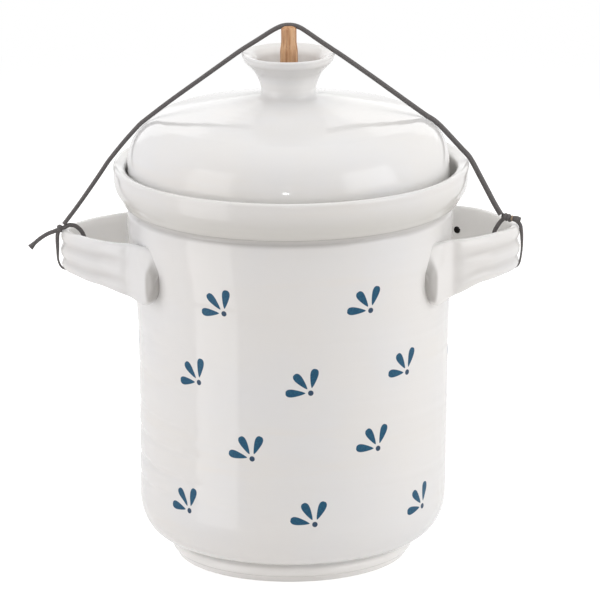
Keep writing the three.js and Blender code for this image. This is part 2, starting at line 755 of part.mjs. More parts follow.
const cord = new THREE.Group();
cord.add(mesh('elastic_cord', cordAlong(SPAN_ROUTE, SPAN_STEPS), elastic));
cord.add(mesh('cord_loop_left', cordAlong(LEFT_LOOP_ROUTE, LOOP_STEPS), elastic));
cord.add(mesh('cord_loop_right', cordAlong(RIGHT_LOOP_ROUTE, LOOP_STEPS), elastic));
cord.add(mesh('cord_tail_left', cordAlong(LEFT_TAIL_ROUTE, 8), elastic));
cord.add(mesh('cord_end_right', cordAlong(RIGHT_END_ROUTE, 3), elastic));
const leftKnot = mesh('cord_knot_left', knot(), elastic);
leftKnot.position.set(...LEFT_KNOT);
const rightKnot = mesh('cord_knot_right', knot(), elastic);
rightKnot.position.set(...RIGHT_KNOT);
cord.add(leftKnot, rightKnot);

const fermentingCrock = new THREE.Group();
fermentingCrock.add(crock, mesh('lid', lid(), glaze), press, cord);

export default fermentingCrock;
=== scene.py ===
"""Looks of a fermenting crock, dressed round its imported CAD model.

Metres, +Z up. The crock stands on its foot at Z = 0 with its axis on the Z axis,
the handles lie along X, and the photographed side faces -Y.
"""

import math

import bmesh
import bpy
import numpy as np
from mathutils import Matrix, Quaternion, Vector


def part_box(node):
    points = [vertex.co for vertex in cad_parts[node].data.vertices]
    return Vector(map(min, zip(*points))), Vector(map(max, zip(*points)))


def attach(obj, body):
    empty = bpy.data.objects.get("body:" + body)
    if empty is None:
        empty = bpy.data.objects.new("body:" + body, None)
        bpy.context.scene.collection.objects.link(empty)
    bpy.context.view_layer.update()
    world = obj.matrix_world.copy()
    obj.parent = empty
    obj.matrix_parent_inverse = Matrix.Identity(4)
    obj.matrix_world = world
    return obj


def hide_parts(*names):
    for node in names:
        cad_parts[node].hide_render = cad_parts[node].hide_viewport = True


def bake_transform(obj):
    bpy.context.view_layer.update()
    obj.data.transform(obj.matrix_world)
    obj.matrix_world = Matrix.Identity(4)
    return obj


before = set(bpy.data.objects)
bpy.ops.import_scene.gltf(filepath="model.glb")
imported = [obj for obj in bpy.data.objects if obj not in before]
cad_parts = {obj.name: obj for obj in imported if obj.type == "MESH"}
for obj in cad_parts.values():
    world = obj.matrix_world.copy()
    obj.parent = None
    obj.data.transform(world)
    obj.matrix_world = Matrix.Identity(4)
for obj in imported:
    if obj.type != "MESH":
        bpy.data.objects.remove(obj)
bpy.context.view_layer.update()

MM = 0.001

# Sizes read from the CAD frame
CROCK_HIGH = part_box("crock_body")[1]
LID_LOW, LID_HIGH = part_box("lid")
ROD_LOW, ROD_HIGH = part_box("press_rod")
PLATE_LOW, PLATE_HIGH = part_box("press_plate")

# Foot of the crock
FOOT_RADIUS = 71.2 * MM
FOOT_HEIGHT = 12.4 * MM
FOOT_RING_WIDTH = 12 * MM
FOOT_RECESS = 4.5 * MM
FOOT_BEAD = 3 * MM
FOOT_BEAD_HEIGHT = 6.2 * MM
FOOT_EDGE = 1.4 * MM

# Body of the crock
BELLY_RADIUS = 94.5 * MM
BELLY_HEIGHT = 42 * MM
BELLY_POWER = 2.3
WAIST_RADIUS = 96 * MM
WAIST_HEIGHT = 158 * MM
SHOULDER_RADIUS = 99.6 * MM
SHOULDER_DEPTH = 14 * MM
BODY_HEIGHT = 218.5 * MM
WALL = 7 * MM
CROCK_FLOOR = 13.5 * MM

# Collar and water channel
LIP_HEIGHT = CROCK_HIGH.z
LIP_RADIUS = CROCK_HIGH.x
COLLAR_GROOVE = 1.3 * MM
COLLAR_GROOVE_HEIGHT = 2 * MM
COLLAR_FOOT = 222.5 * MM
# Outer face of the collar: radius and height, in millimetres
COLLAR_PLACES = (
    (100.6, 222.5), (102, 223), (102.9, 224.3), (103.9, 226.2), (105.5, 228.6), (106.7, 230.6),
    (107.6, 232.9), (108.2, 235.6), (108.5, 239), (108.6, 242),
)
LIP_WIDTH = 7.9 * MM
LIP_ROUND = 2.4 * MM
CHANNEL_FLOOR = LIP_HEIGHT - 21 * MM
CHANNEL_ROUND = 2.5 * MM
THROAT_OUTER_RADIUS = 90.1 * MM
THROAT_RADIUS = 85.1 * MM
THROAT_TOP = LIP_HEIGHT - 4 * MM
THROAT_TAPER = 21 * MM

# Lid
LID_RADIUS = LID_HIGH.x
LID_BASE = LID_LOW.z
LID_WALL = 5.2 * MM
SHOULDER_BASE = LID_BASE + 20 * MM
LID_SHOULDER_WIDTH = 25 * MM
LID_SHOULDER_HEIGHT = 29.5 * MM
LID_SHOULDER_SWEEP = 77
LID_EDGE_ROUND = 1.6 * MM
DOME_RISE = 13.6 * MM
NECK_RADIUS = 16.8 * MM
NECK_FILLET = 2.4 * MM
KNOB_LIP = LID_HIGH.z
KNOB_HEIGHT = 26.4 * MM
KNOB_RADIUS = 28.5 * MM
KNOB_LIP_HEIGHT = 4.6 * MM
FUNNEL_DEPTH = 20 * MM
BORE_RADIUS = 6.8 * MM

# Handles
HANDLE_REACH = 41.4 * MM
HANDLE_THICKNESS = 7 * MM
HANDLE_PROUD = 5 * MM
HANDLE_TOP_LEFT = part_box("handle_left")[1].z
HANDLE_TOP_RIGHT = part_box("handle_right")[1].z
HANDLE_HOLE_RADIUS = 2.2 * MM
HANDLE_HOLE_DROP = 12.1 * MM
HANDLE_HOLE_ANGLE = math.radians(18.8)
HANDLE_HOLE_REACH = 10.5 * MM
HANDLE_HOLE_TURN = math.radians(31)
HOLE_SIDES = 24
# The hole's wall is what lies this close to its axis, in radii, and faces it this squarely
HOLE_WALL_REACH = 1.02
HOLE_WALL_TILT = 0.3

# Press
ROD_RADIUS = 5.4 * MM
ROD_TIP_RADIUS = 4.7 * MM
ROD_TIP_LENGTH = 9 * MM
ROD_TAPER_LENGTH = 8 * MM
ROD_TIP_ROUND = 2.2 * MM
ROD_TIP_ROUND_WIDTH = 3.4 * MM
ROD_TOP = ROD_HIGH.z
# Room beside and under the cord in the rod's notch
NOTCH_BESIDE = 0.25 * MM
NOTCH_UNDER = 0.05 * MM
PLATE_THICKNESS = 13 * MM
PLATE_EDGE = 4 * MM
PLATE_BOSS_RADIUS = 17 * MM
PLATE_SOCKET_RADIUS = ROD_RADIUS + 0.3 * MM
PLATE_SOCKET_FLOOR = 5 * MM
PLATE_SOCKET_EDGE = 0.5 * MM

# Elastic cord, a little plumper than its smooth CAD solid because of its braid
CORD_RADIUS = 1.28 * MM

# Camera, fitted to the photograph
IMAGE_SIDE = 600
FOCAL_PIXELS = 5728
SENSOR_WIDTH = 36
CAMERA_PLACE = Vector((5.8 * MM, -3400 * MM, 1080 * MM))
CAMERA_AIM = Vector((5.8 * MM, 0, 159.1 * MM))
CAMERA_ROLL = math.radians(0.35)
CAMERA_NEAR = 0.1
CAMERA_FAR = 50


def make_camera():
    data = bpy.data.cameras.new("camera")
    data.sensor_width = SENSOR_WIDTH
    data.lens = FOCAL_PIXELS / IMAGE_SIDE * SENSOR_WIDTH
    data.clip_start = CAMERA_NEAR
    data.clip_end = CAMERA_FAR
    camera = bpy.data.objects.new("camera", data)
    bpy.context.scene.collection.objects.link(camera)
    camera.location = CAMERA_PLACE
    camera.rotation_mode = "QUATERNION"
    level = (CAMERA_AIM - CAMERA_PLACE).to_track_quat("-Z", "Y")
    camera.rotation_quaternion = level @ Quaternion((0, 0, 1), -CAMERA_ROLL)
    bpy.context.scene.camera = camera


make_camera()


class Wire:
    """One output of a node. Sums written with it add Math nodes to its tree."""

    def __init__(self, net, socket):
        self.net = net
        self.socket = socket

    def out(self, name):
        return Wire(self.net, self.socket.node.outputs[name])

    def maths(self, operation, *others):
        return self.net.node("ShaderNodeMath", {"operation": operation}, [self, *others])

    def __add__(self, other):
        return self.maths("ADD", other)

    def __sub__(self, other):
        return self.maths("SUBTRACT", other)

    def __mul__(self, other):
        return self.maths("MULTIPLY", other)

    def __truediv__(self, other):
        return self.maths("DIVIDE", other)

    def __pow__(self, other):
        return self.maths("POWER", other)

    def __abs__(self):
        return self.maths("ABSOLUTE")

    def __neg__(self):
        return self * -1

    def __rsub__(self, other):
        return -self + other

    __radd__ = __add__
    __rmul__ = __mul__

    def step(self, low, high):
        """0 below low, 1 above high, and a smooth change between them."""
        settings = {"interpolation_type": "SMOOTHSTEP"}
        return self.net.node("ShaderNodeMapRange", settings, [self, low, high, 0.0, 1.0])


class Net:
    """A node tree with one way of adding a node."""

    def __init__(self, tree):
        self.tree = tree

    def node(self, kind, settings=None, inputs=(), output=0):
        """A node of this kind, with its settings, and the values or links of its sockets."""
        made = self.tree.nodes.new(kind)
        for name, value in (settings or {}).items():
            setattr(made, name, value)
        pairs = inputs.items() if isinstance(inputs, dict) else enumerate(inputs)
        for key, value in pairs:
            if isinstance(value, Wire):
                self.tree.links.new(value.socket, made.inputs[key])
            else:
                made.inputs[key].default_value = value
        return Wire(self, made.outputs[output]) if len(made.outputs) else None

    def place(self):
        """Object coordinates, as one vector."""
        return self.node("ShaderNodeTexCoord", output="Object")

    def parted(self, vector):
        """A vector's three numbers, as separate wires."""
        parts = self.node("ShaderNodeSeparateXYZ", inputs=[vector])
        return parts.out("X"), parts.out("Y"), parts.out("Z")

    def noise(self, vector, scale, detail=2.0, roughness=0.5):
        inputs = {"Vector": vector, "Scale": scale, "Detail": detail, "Roughness": roughness}
        return self.node("ShaderNodeTexNoise", {}, inputs)

    def stretched(self, vector, scale):
        return self.node("ShaderNodeMapping", {}, {"Vector": vector, "Scale": scale})

    def mix(self, factor, first, second):
        settings = {"data_type": "RGBA"}
        first = first if isinstance(first, Wire) else (*first, 1)
        second = second if isinstance(second, Wire) else (*second, 1)
        return self.node("ShaderNodeMix", settings, {0: factor, 6: first, 7: second}, output=2)

    def bump(self, height):
        """A normal for a relief whose height is given in metres."""
        return self.node("ShaderNodeBump", {}, {"Height": height, "Strength": 1.0, "Distance": 1.0})

    def principled(self, inputs):
        return self.node("ShaderNodeBsdfPrincipled", {}, inputs)

    def surface(self, shader):
        """Joins a shader to the material's output."""
        self.node("ShaderNodeOutputMaterial", {}, {"Surface": shader})


def new_material(name):
    material = bpy.data.materials.new(name)
    material.use_nodes = True
    material.node_tree.nodes.clear()
    return material, Net(material.node_tree)


# Painted sprigs: three petals and a dot. Each has its angle in degrees round the crock from its
# front, its height above the table in millimetres, and how far it is turned, in degrees.
SPRIGS = [
    (-24.4, 174.6, -7), (29.5, 175.4, -14), (154, 174, -4), (206, 176, -12),
    (-36.1, 128.5, -5), (7.2, 126.7, -9), (46.8, 131.4, -16), (93, 129, -9), (139, 128, -14),
    (185, 130, -6), (231, 129, -12), (274, 128, -8),
    (-14.5, 84.8, -19), (33.3, 87.5, -18), (95, 86, -13), (148, 85, -17), (201, 87, -8),
    (254, 86, -14),
    (-41.5, 45.8, -15), (8.5, 43.8, -21), (57, 42.3, -8), (109.3, 44, -12), (161.6, 45, -18),
    (213.9, 43, -10), (266.2, 44, -14),
]
SPRIG_REACH = 18 * MM
PETAL_ANGLES = (189, 139, 88)
PETAL_START = 3.2 * MM
PETAL_LENGTH = 12.3 * MM
PETAL_HALF_WIDTH = 2.7 * MM
# A petal's outline: how fast it widens, how late it closes, and what brings it to its width
PETAL_WIDENING = 0.7
PETAL_CLOSING = 5
PETAL_FULLNESS = 1.3
# Keeps the powers in a petal's outline away from 0 and 1
PETAL_MARGIN = 0.0001
PETAL_END_FADE = 0.02
SPRIG_DOT_RADIUS = 1.7 * MM
PAINT_EDGE = 0.12 * MM


def sprig_paint(net):
    """Where the sprigs' blue lies, from the mesh's own map round each sprig's dot."""
    across, up, _ = net.parted(net.node("ShaderNodeUVMap", {"uv_map": "sprig"}))
    from_dot = (across * across + up * up) ** 0.5
    dot = 1 - from_dot.step(SPRIG_DOT_RADIUS - PAINT_EDGE, SPRIG_DOT_RADIUS + PAINT_EDGE)
    petals = None
    for angle in PETAL_ANGLES:
        cosine, sine = math.cos(math.radians(angle)), math.sin(math.radians(angle))
        along = (across * cosine + up * sine - PETAL_START) / PETAL_LENGTH
        aside = abs(up * cosine - across * sine)
        held = along.maths("MAXIMUM", PETAL_MARGIN).maths("MINIMUM", 1 - PETAL_MARGIN)
        bulge = held ** PETAL_WIDENING * (1 - held ** PETAL_CLOSING) ** 0.5
        half = bulge * (PETAL_HALF_WIDTH * PETAL_FULLNESS)
        inside = (half - aside).step(-PAINT_EDGE, PAINT_EDGE)
        ends = along.step(0.0, PETAL_END_FADE) * (1 - along.step(1 - PETAL_END_FADE, 1.0))
        petal = inside * ends
        petals = petal if petals is None else petals.maths("MAXIMUM", petal)
    return petals, dot


# Glaze over white stoneware
GLAZE = (0.79, 0.785, 0.772)
GLAZE_COOL = (0.775, 0.78, 0.785)
GLAZE_THIN = (0.80, 0.77, 0.72)
# The next two colours are painted shade, in the groove under the collar partly run glaze as well, and
# the third is painted light
GLAZE_SHADED = (0.61, 0.605, 0.575)
GLAZE_DEEP_SHADE = (0.48, 0.47, 0.455)
GLAZE_PAINTED_LIGHT = (0.93, 0.925, 0.91)
BLUE_DEEP = (0.008, 0.075, 0.155)
BLUE_WORN = (0.02, 0.115, 0.2)
DOT_BLUE = (0.03, 0.065, 0.12)
GLAZE_INDEX = 1.52
PAINT_INDEX = 1.33
PAINT_ROUGHER = 0.2
# Relief in the glaze: finger rings, orange peel and broad unevenness
RING_PITCH = 4.7 * MM
RING_WOBBLE = 5.0
RING_BUMP = 0.012 * MM
PEEL_BUMP = 0.006 * MM
PATCH_BUMP = 0.25 * MM
# Dark band in the groove under the collar, partly glaze that has run into it and partly painted
# shade: its middle height, how far from it the band starts and stops to fade, and how strong it is
GROOVE_SHADE_HEIGHT = BODY_HEIGHT + 2.4 * MM
GROOVE_SHADE_FADE = (0.5 * MM, 4.5 * MM)
GROOVE_SHADE_STRENGTH = 0.7
# Painted shade on the collar's downward-facing face: where it sets in, where it fades out towards
# the lip, and how strong it is below and how much of that the lip loses
COLLAR_SHADE_START = (BODY_HEIGHT + 1 * MM, BODY_HEIGHT + 5 * MM)
COLLAR_SHADE_END = (226 * MM, 244 * MM)
COLLAR_SHADE = 0.85
COLLAR_SHADE_LOSS = 0.75
# Painted light on the foot, up to these heights
FOOT_PAINTED_LIGHT_END = (8.5 * MM, 11 * MM)


def collar_and_foot_shading(net, z, colour):
    """Painted shade on the collar and, with run glaze, in the groove; painted light on the foot."""
    groove_shade = 1 - abs(z - GROOVE_SHADE_HEIGHT).step(*GROOVE_SHADE_FADE)
    collar_shade = COLLAR_SHADE - z.step(*COLLAR_SHADE_END) * COLLAR_SHADE_LOSS
    colour = net.mix(z.step(*COLLAR_SHADE_START) * collar_shade, colour, GLAZE_SHADED)
    colour = net.mix(groove_shade * GROOVE_SHADE_STRENGTH, colour, GLAZE_DEEP_SHADE)
    return net.mix(1 - z.step(*FOOT_PAINTED_LIGHT_END), colour, GLAZE_PAINTED_LIGHT)


def glaze_material(name, painted=False, with_painted_shading=False):
    material, net = new_material(name)
    vector = net.place()
    z = net.parted(vector)[2]
    patches = net.noise(vector, 16.0, 3.0)
    flow = net.noise(net.stretched(vector, (1, 1, 9)), 7.0, 4.0, 0.6)
    wobble = net.noise(vector, 22.0, 2.0)
    colour = net.mix(patches.step(0.35, 0.7), GLAZE, GLAZE_COOL)
    colour = net.mix(flow.step(0.52, 0.75) * 0.35, colour, GLAZE_THIN)
    if painted:
        colour = collar_and_foot_shading(net, z, colour)
    rings = (z * (2 * math.pi / RING_PITCH) + wobble * RING_WOBBLE).maths("SINE")
    fade = net.noise(net.stretched(vector, (1, 1, 3)), 12.0, 2.0).step(0.35, 0.7)
    peel = net.noise(vector, 420.0, 2.0)
    height = rings * fade * RING_BUMP + peel * PEEL_BUMP + patches * PATCH_BUMP
    roughness = 0.06 + patches * 0.06
    if with_painted_shading:
        # Painted shade where the stored shading is above 0, painted light where it is below 0
        painted_shading = net.node("ShaderNodeAttribute", {"attribute_name": "painted_shading"}, output="Fac")
        colour = net.mix(painted_shading, net.mix(-painted_shading, colour, GLAZE_PAINTED_LIGHT), GLAZE_DEEP_SHADE)
    normal = net.bump(height)
    glaze = net.principled({
        "Base Color": colour,
        "Roughness": roughness,
        "IOR": GLAZE_INDEX,
        "Normal": normal,
    })
    if painted:
        petals, dot = sprig_paint(net)
        streak = net.noise(vector, 900.0, 2.0)
        blue = net.mix(streak.step(0.4, 0.65) * 0.6, BLUE_DEEP, BLUE_WORN)
        paint_coat = net.principled({
            "Base Color": net.mix(dot, blue, DOT_BLUE),
            "Roughness": roughness + PAINT_ROUGHER,
            "IOR": PAINT_INDEX,
            "Normal": normal,
        })
        blue_lies = petals.maths("MAXIMUM", dot)
        glaze = net.node("ShaderNodeMixShader", {}, [blue_lies, glaze, paint_coat])
    net.surface(glaze)
    return material


# Bare clay, and the near-black painted shade inside the small hole, with the relief of their grain
CLAY = (0.72, 0.66, 0.57)
CLAY_STAINED = (0.60, 0.53, 0.44)
CLAY_SPECK = (0.42, 0.35, 0.28)
CLAY_BUMP = 0.05 * MM
HOLE_SHADE = (0.006, 0.005, 0.004)
HOLE_SHADE_LIGHTER = (0.03, 0.025, 0.02)
HOLE_SHADE_BUMP = 0.03 * MM


def bare_clay_material():
    material, net = new_material("bare_clay")
    vector = net.place()
    grain = net.noise(vector, 1800.0, 3.0)
    stain = net.noise(vector, 40.0, 3.0)
    colour = net.mix(stain, CLAY_STAINED, CLAY)
    colour = net.mix(grain.step(0.62, 0.7) * 0.5, colour, CLAY_SPECK)
    normal = net.bump(grain * CLAY_BUMP)
    net.surface(net.principled({"Base Color": colour, "Roughness": 0.85, "Normal": normal}))
    return material


def hole_shade_material():
    """Painted shade: a near-black grainy colour inside the small hole, where its shadow lies."""
    material, net = new_material("hole_painted_shade")
    grain = net.noise(net.place(), 2200.0, 2.0)
    colour = net.mix(grain.step(0.35, 0.7), HOLE_SHADE, HOLE_SHADE_LIGHTER)
    normal = net.bump(grain * HOLE_SHADE_BUMP)
    net.surface(net.principled({"Base Color": colour, "Roughness": 0.95, "Normal": normal}))
    return material


# Wood, and how far its fibres and its bands are drawn out along the grain
WOOD_DARK = (0.40, 0.17, 0.065)
WOOD_PALE = (0.70, 0.42, 0.22)
WOOD_FIBRE = (0.80, 0.56, 0.36)
WOOD_PORE = (0.22, 0.09, 0.035)
FIBRE_SQUEEZE = 0.035
BAND_SQUEEZE = 0.06
WOOD_BUMP = 0.03 * MM


def wood_material(name, along):
    """Plain wood with its grain along one axis, 0 for X and 2 for Z."""
    material, net = new_material(name)
    squeeze = [1.0, 1.0, 1.0]
    squeeze[along] = FIBRE_SQUEEZE
    fibres = net.noise(net.stretched(net.place(), squeeze), 2600.0, 3.0, 0.6)
    squeeze[along] = BAND_SQUEEZE
    drawn_out = net.stretched(net.place(), squeeze)
    bands = net.noise(drawn_out, 420.0, 2.0)
    pores = net.noise(drawn_out, 5200.0, 1.0).step(0.66, 0.72)
    colour = net.mix(bands.step(0.35, 0.65), WOOD_DARK, WOOD_PALE)
    colour = net.mix(fibres.step(0.35, 0.75) * 0.55, colour, WOOD_FIBRE)
    colour = net.mix(pores * 0.5, colour, WOOD_PORE)
    net.surface(net.principled({
        "Base Color": colour,
        "Roughness": 0.5 + bands * 0.2,
        "Normal": net.bump((fibres - pores) * WOOD_BUMP),
    }))
    return material


# Braid over the elastic, and its rubber core
STRANDS = 12
STRAND_PITCH = 7.5 * MM
BRAID_VALLEY = (0.036, 0.033, 0.034)
BRAID_RIDGE = (0.14, 0.132, 0.132)
BRAID_FLECK = (0.25, 0.235, 0.23)
BRAID_BUMP = 0.05 * MM
RUBBER_DARK = (0.28, 0.21, 0.15)
RUBBER_PALE = (0.40, 0.31, 0.22)
RUBBER_BUMP = 0.04 * MM


def braid_material():
    material, net = new_material("braided_elastic")
    turn, length, _ = net.parted(net.node("ShaderNodeUVMap", {"uv_map": "braid"}))
    fleck = net.noise(net.place(), 3000.0, 2.0)
    climb = length * (1 / STRAND_PITCH)
    over = ((turn + climb) * (STRANDS * math.pi)).maths("SINE")
    under = ((turn - climb) * (STRANDS * math.pi)).maths("SINE")
    ridge = abs(over).maths("MAXIMUM", abs(under))
    colour = net.mix(ridge.step(0.5, 1.0), BRAID_VALLEY, BRAID_RIDGE)
    colour = net.mix(fleck.step(0.45, 0.75) * 0.45, colour, BRAID_FLECK)
    normal = net.bump(fleck * BRAID_BUMP)
    net.surface(net.principled({"Base Color": colour, "Roughness": 0.8, "Normal": normal}))
    return material


def rubber_material():
    """The elastic's pale rubber core, where its cover has slipped back at the knot."""
    material, net = new_material("rubber_core")
    dust = net.noise(net.place(), 2400.0, 2.0)
    colour = net.mix(dust.step(0.3, 0.7), RUBBER_DARK, RUBBER_PALE)
    roughness = 0.6 + dust * 0.2
    normal = net.bump(dust * RUBBER_BUMP)
    net.surface(net.principled({"Base Color": colour, "Roughness": roughness, "Normal": normal}))
    return material


MATERIALS = {
    "rubber": rubber_material(),
    "crock": glaze_material("painted_glaze", painted=True),
    "with_painted_shading": glaze_material("glaze_with_painted_shading", with_painted_shading=True),
    "hole": hole_shade_material(),
    "clay": bare_clay_material(),
    "rod": wood_material("rod_wood", 2),
    "plate": wood_material("plate_wood", 0),
    "cord": braid_material(),
}


# Outlines: places are (radius, height)
def arc(centre, half_width, half_height, start, end, steps, power=2.0):
    """A piece of an elliptic or fuller arc round a centre, angles in degrees."""
    places = []
    for i in range(steps + 1):
        angle = math.radians(start + (end - start) * i / steps)
        cosine, sine = math.cos(angle), math.sin(angle)
        across = math.copysign(abs(cosine) ** (2 / power), cosine)
        up = math.copysign(abs(sine) ** (2 / power), sine)
        places.append((centre[0] + half_width * across, centre[1] + half_height * up))
    return places


def corner(first, towards, last, steps=8):
    """A rounded corner between two places, bending towards a third."""
    places = []
    for i in range(steps + 1):
        t = i / steps
        a, b, c = (1 - t) ** 2, 2 * t * (1 - t), t * t
        places.append(tuple(a * p + b * q + c * r for p, q, r in zip(first, towards, last)))
    return places


def round_edge(edge, radius, steps=8):
    return arc((edge[0] - radius, edge[1] - radius), radius, radius, 0, 90, steps)


# Points between two places of a smooth line before it is spaced evenly
SMOOTH_STEPS = 24
# Two places that lie closer together than this, in metres, count as one
SAME_PLACE = 1e-7


def smooth_line(places, steps):
    """A smooth run through places, in any number of dimensions, evenly spaced by length."""
    points = [np.array(p, float) for p in places]
    points = [2 * points[0] - points[1], *points, 2 * points[-1] - points[-2]]
    fine = []
    for p0, p1, p2, p3 in zip(points, points[1:], points[2:], points[3:]):
        gaps = [np.linalg.norm(b - a) ** 0.5 for a, b in ((p0, p1), (p1, p2), (p2, p3))]
        knots = np.cumsum([0, *gaps])
        for t in np.linspace(knots[1], knots[2], SMOOTH_STEPS, endpoint=False):
            a1 = blend_at(p0, p1, knots[0], knots[1], t)
            a2 = blend_at(p1, p2, knots[1], knots[2], t)
            a3 = blend_at(p2, p3, knots[2], knots[3], t)
            b1 = blend_at(a1, a2, knots[0], knots[2], t)
            b2 = blend_at(a2, a3, knots[1], knots[3], t)
            fine.append(blend_at(b1, b2, knots[1], knots[2], t))
    fine = np.array([*fine, points[-2]])
    lengths = lengths_along(fine)
    return line_at(fine, lengths, np.linspace(0, lengths[-1], steps + 1))


def lengths_along(line):
    """How far along the line each of its points lies."""
    return np.r_[0, np.cumsum(np.linalg.norm(np.diff(line, axis=0), axis=1))]


def line_at(line, lengths, wanted):
    """Places on the line at the wanted lengths."""
    return np.stack([np.interp(wanted, lengths, line[:, k]) for k in range(line.shape[1])], 1)


def blend_at(first, second, start, end, t):
    return first * ((end - t) / (end - start)) + second * ((t - start) / (end - start))


def filled(outline, spacing):
    """The outline with points added so that none lie further apart than the spacing."""
    places = [outline[0]]
    for place in outline[1:]:
        last = places[-1]
        gap = math.dist(last, place)
        if gap < SAME_PLACE:
            continue
        parts = max(1, math.ceil(gap / spacing))
        for i in range(1, parts + 1):
            places.append(tuple(a + (b - a) * i / parts for a, b in zip(last, place)))
    return places


def add_object(name, vertices, faces, smooth=True):
    """A piece at the origin, with its doubles merged and its faces outwards."""
    mesh = bpy.data.meshes.new(name)
    mesh.from_pydata([tuple(v) for v in vertices], [], faces)
    piece = bpy.data.objects.new(name, mesh)
    bpy.context.scene.collection.objects.link(piece)
    work = bmesh.new()
    work.from_mesh(mesh)
    bmesh.ops.remove_doubles(work, verts=work.verts, dist=SAME_PLACE)
    bmesh.ops.recalc_face_normals(work, faces=work.faces)
    work.to_mesh(mesh)
    work.free()
    mesh.polygons.foreach_set("use_smooth", [smooth] * len(mesh.polygons))
    return piece


def ring_faces(rings, sides):
    """Faces between rings of vertices, each with the same number of sides."""
    faces = []
    for ring in range(rings - 1):
        for side in range(sides):
            a, b = ring * sides + side, ring * sides + (side + 1) % sides
            faces.append((a, b, b + sides, a + sides))
    return faces


def read_all(items, name, width=1, kind=float):
    """One value of each item of a mesh, such as where its vertices lie."""
    store = np.zeros(len(items) * width, kind)
    items.foreach_get(name, store)
    return store.reshape(-1, width) if width > 1 else store


def thrown(name, outline, sides, swell=None, lean=None):
    """A solid turned round the Z axis. swell(radius, height, angle, share) changes its radius,
    and lean, as (height, shift) pairs, moves it along X."""
    outline = np.array(outline)
    angles = np.arange(sides) * (2 * math.pi / sides)
    radius = np.repeat(outline[:, :1], sides, axis=1)
    height = np.repeat(outline[:, 1:], sides, axis=1)
    if swell is not None:
        share = np.linspace(0, 1, len(outline))[:, None]
        radius = radius + swell(radius, height, angles[None, :], share) * (radius > SAME_PLACE)
    shift = np.interp(height, *zip(*lean)) if lean else 0
    vertices = np.stack([radius * np.cos(angles) + shift, radius * np.sin(angles), height], axis=2)
    return add_object(name, vertices.reshape(-1, 3), ring_faces(len(outline), sides))


def paint(piece, *materials):
    for material in materials:
        piece.data.materials.append(material)


def smoothstep(value, low, high):
    t = np.clip((value - low) / (high - low), 0, 1)
    return t * t * (3 - 2 * t)


# Crock: sides of its rings, and the spacing of its rings outside and inside
CROCK_SIDES = 224
FINE = 1.1 * MM
COARSE = 4 * MM
# Share of the outline's points, from its start, on which rings and marks can lie
OUTSIDE_SHARE = 0.62
# Finger rings: how deep they are, and how far they climb on one side and sink on the other
RING_SWELL = 0.07 * MM
RING_CLIMB = 5 * MM
# They come and go with this pitch, and fade in and out between these heights
RING_FADE_PITCH = 43 * MM
RINGS_START = (16 * MM, 30 * MM)
RINGS_END = (196 * MM, 212 * MM)
# Pitch in millimetres, share of the swell, phase
RING_WAVES = ((15.7, 0.8, 0.4), (9.3, 0.6, 2.1), (6.1, 0.3, 4.0))
# Deeper finger marks: height and depth in millimetres, and the side on which they lie
FINGER_MARKS = (
    (96, 0.7, 180), (79.5, 1.1, 180), (62.5, 1.5, 180), (49.5, 0.9, 182),
    (120, 0.5, 178), (144, 0.35, 180), (70, 0.5, 60), (104, 0.45, 95), (133, 0.4, 40),
)
MARK_HALF_HEIGHT = 2.3 * MM
MARK_SLANT = 2 * MM
# Cosines of the angles from a mark's middle at which it starts and is whole
MARK_REACH = (0.45, 0.95)
# The hand-thrown wall stands a little off its axis
CROCK_LEAN = (
    (0, 0), (10 * MM, 0.3 * MM), (60 * MM, 1.0 * MM), (100 * MM, 1.5 * MM), (140 * MM, 1.7 * MM),
    (175 * MM, 1.4 * MM), (208 * MM, -0.2 * MM), (218 * MM, 0.2 * MM), (226 * MM, 0.8 * MM),
    (250 * MM, 0.8 * MM),
)


def wall_outline():
    """Outer face of the crock's body, from the crease over the foot to the groove."""
    crease = FOOT_RADIUS
    belly = arc((crease, BELLY_HEIGHT), BELLY_RADIUS - crease, BELLY_HEIGHT - FOOT_HEIGHT,
                -90, 0, 30, BELLY_POWER)
    side = smooth_line([
        (BELLY_RADIUS, BELLY_HEIGHT),
        (WAIST_RADIUS, WAIST_HEIGHT),
        (SHOULDER_RADIUS, BODY_HEIGHT - SHOULDER_DEPTH),
        (SHOULDER_RADIUS, BODY_HEIGHT - COLLAR_GROOVE_HEIGHT),
    ], 80)
    return [*belly, *map(tuple, side)]


def wall_radius(height):
    places = wall_outline()
    return np.interp(height, [p[1] for p in places], [p[0] for p in places])


def crock_outline():
    """Once round the crock's section: up its outside, then down its inside."""
    return [*filled([*foot_outline(), *wall_outline(), *collar_outline()], FINE),
            *filled([*channel_outline(), *inside_outline()], COARSE)]


def foot_outline():
    """From the middle of the recess under the crock, round the foot ring and its bead."""
    ring_inner = FOOT_RADIUS - FOOT_RING_WIDTH
    recess_edge = (ring_inner - 3 * MM, FOOT_RECESS)
    ring_edge = (ring_inner, 0.6 * MM)
    bead = FOOT_RADIUS + FOOT_BEAD
    bead_base = (FOOT_RADIUS + 0.8 * MM, FOOT_BEAD_HEIGHT - 2.4 * MM)
    bead_side = (bead, FOOT_BEAD_HEIGHT)
    bead_top = (FOOT_RADIUS + 1 * MM, FOOT_BEAD_HEIGHT + 4 * MM)
    crease = (FOOT_RADIUS, FOOT_HEIGHT - 0.6 * MM)
    return [
        (0, FOOT_RECESS),
        *corner(recess_edge, (ring_inner - 1 * MM, FOOT_RECESS), ring_edge, 6),
        *corner(ring_edge, (ring_inner, 0), (ring_inner + 0.8 * MM, 0), 4),
        *corner((FOOT_RADIUS - FOOT_EDGE, 0), (FOOT_RADIUS, 0), (FOOT_RADIUS, FOOT_EDGE), 6),
        *corner(bead_base, (bead, FOOT_BEAD_HEIGHT - 2.2 * MM), bead_side, 8),
        *corner(bead_side, (bead, FOOT_BEAD_HEIGHT + 2.6 * MM), bead_top, 10),
        *corner(bead_top, (FOOT_RADIUS, FOOT_HEIGHT - 1.6 * MM), crease, 5),
    ]


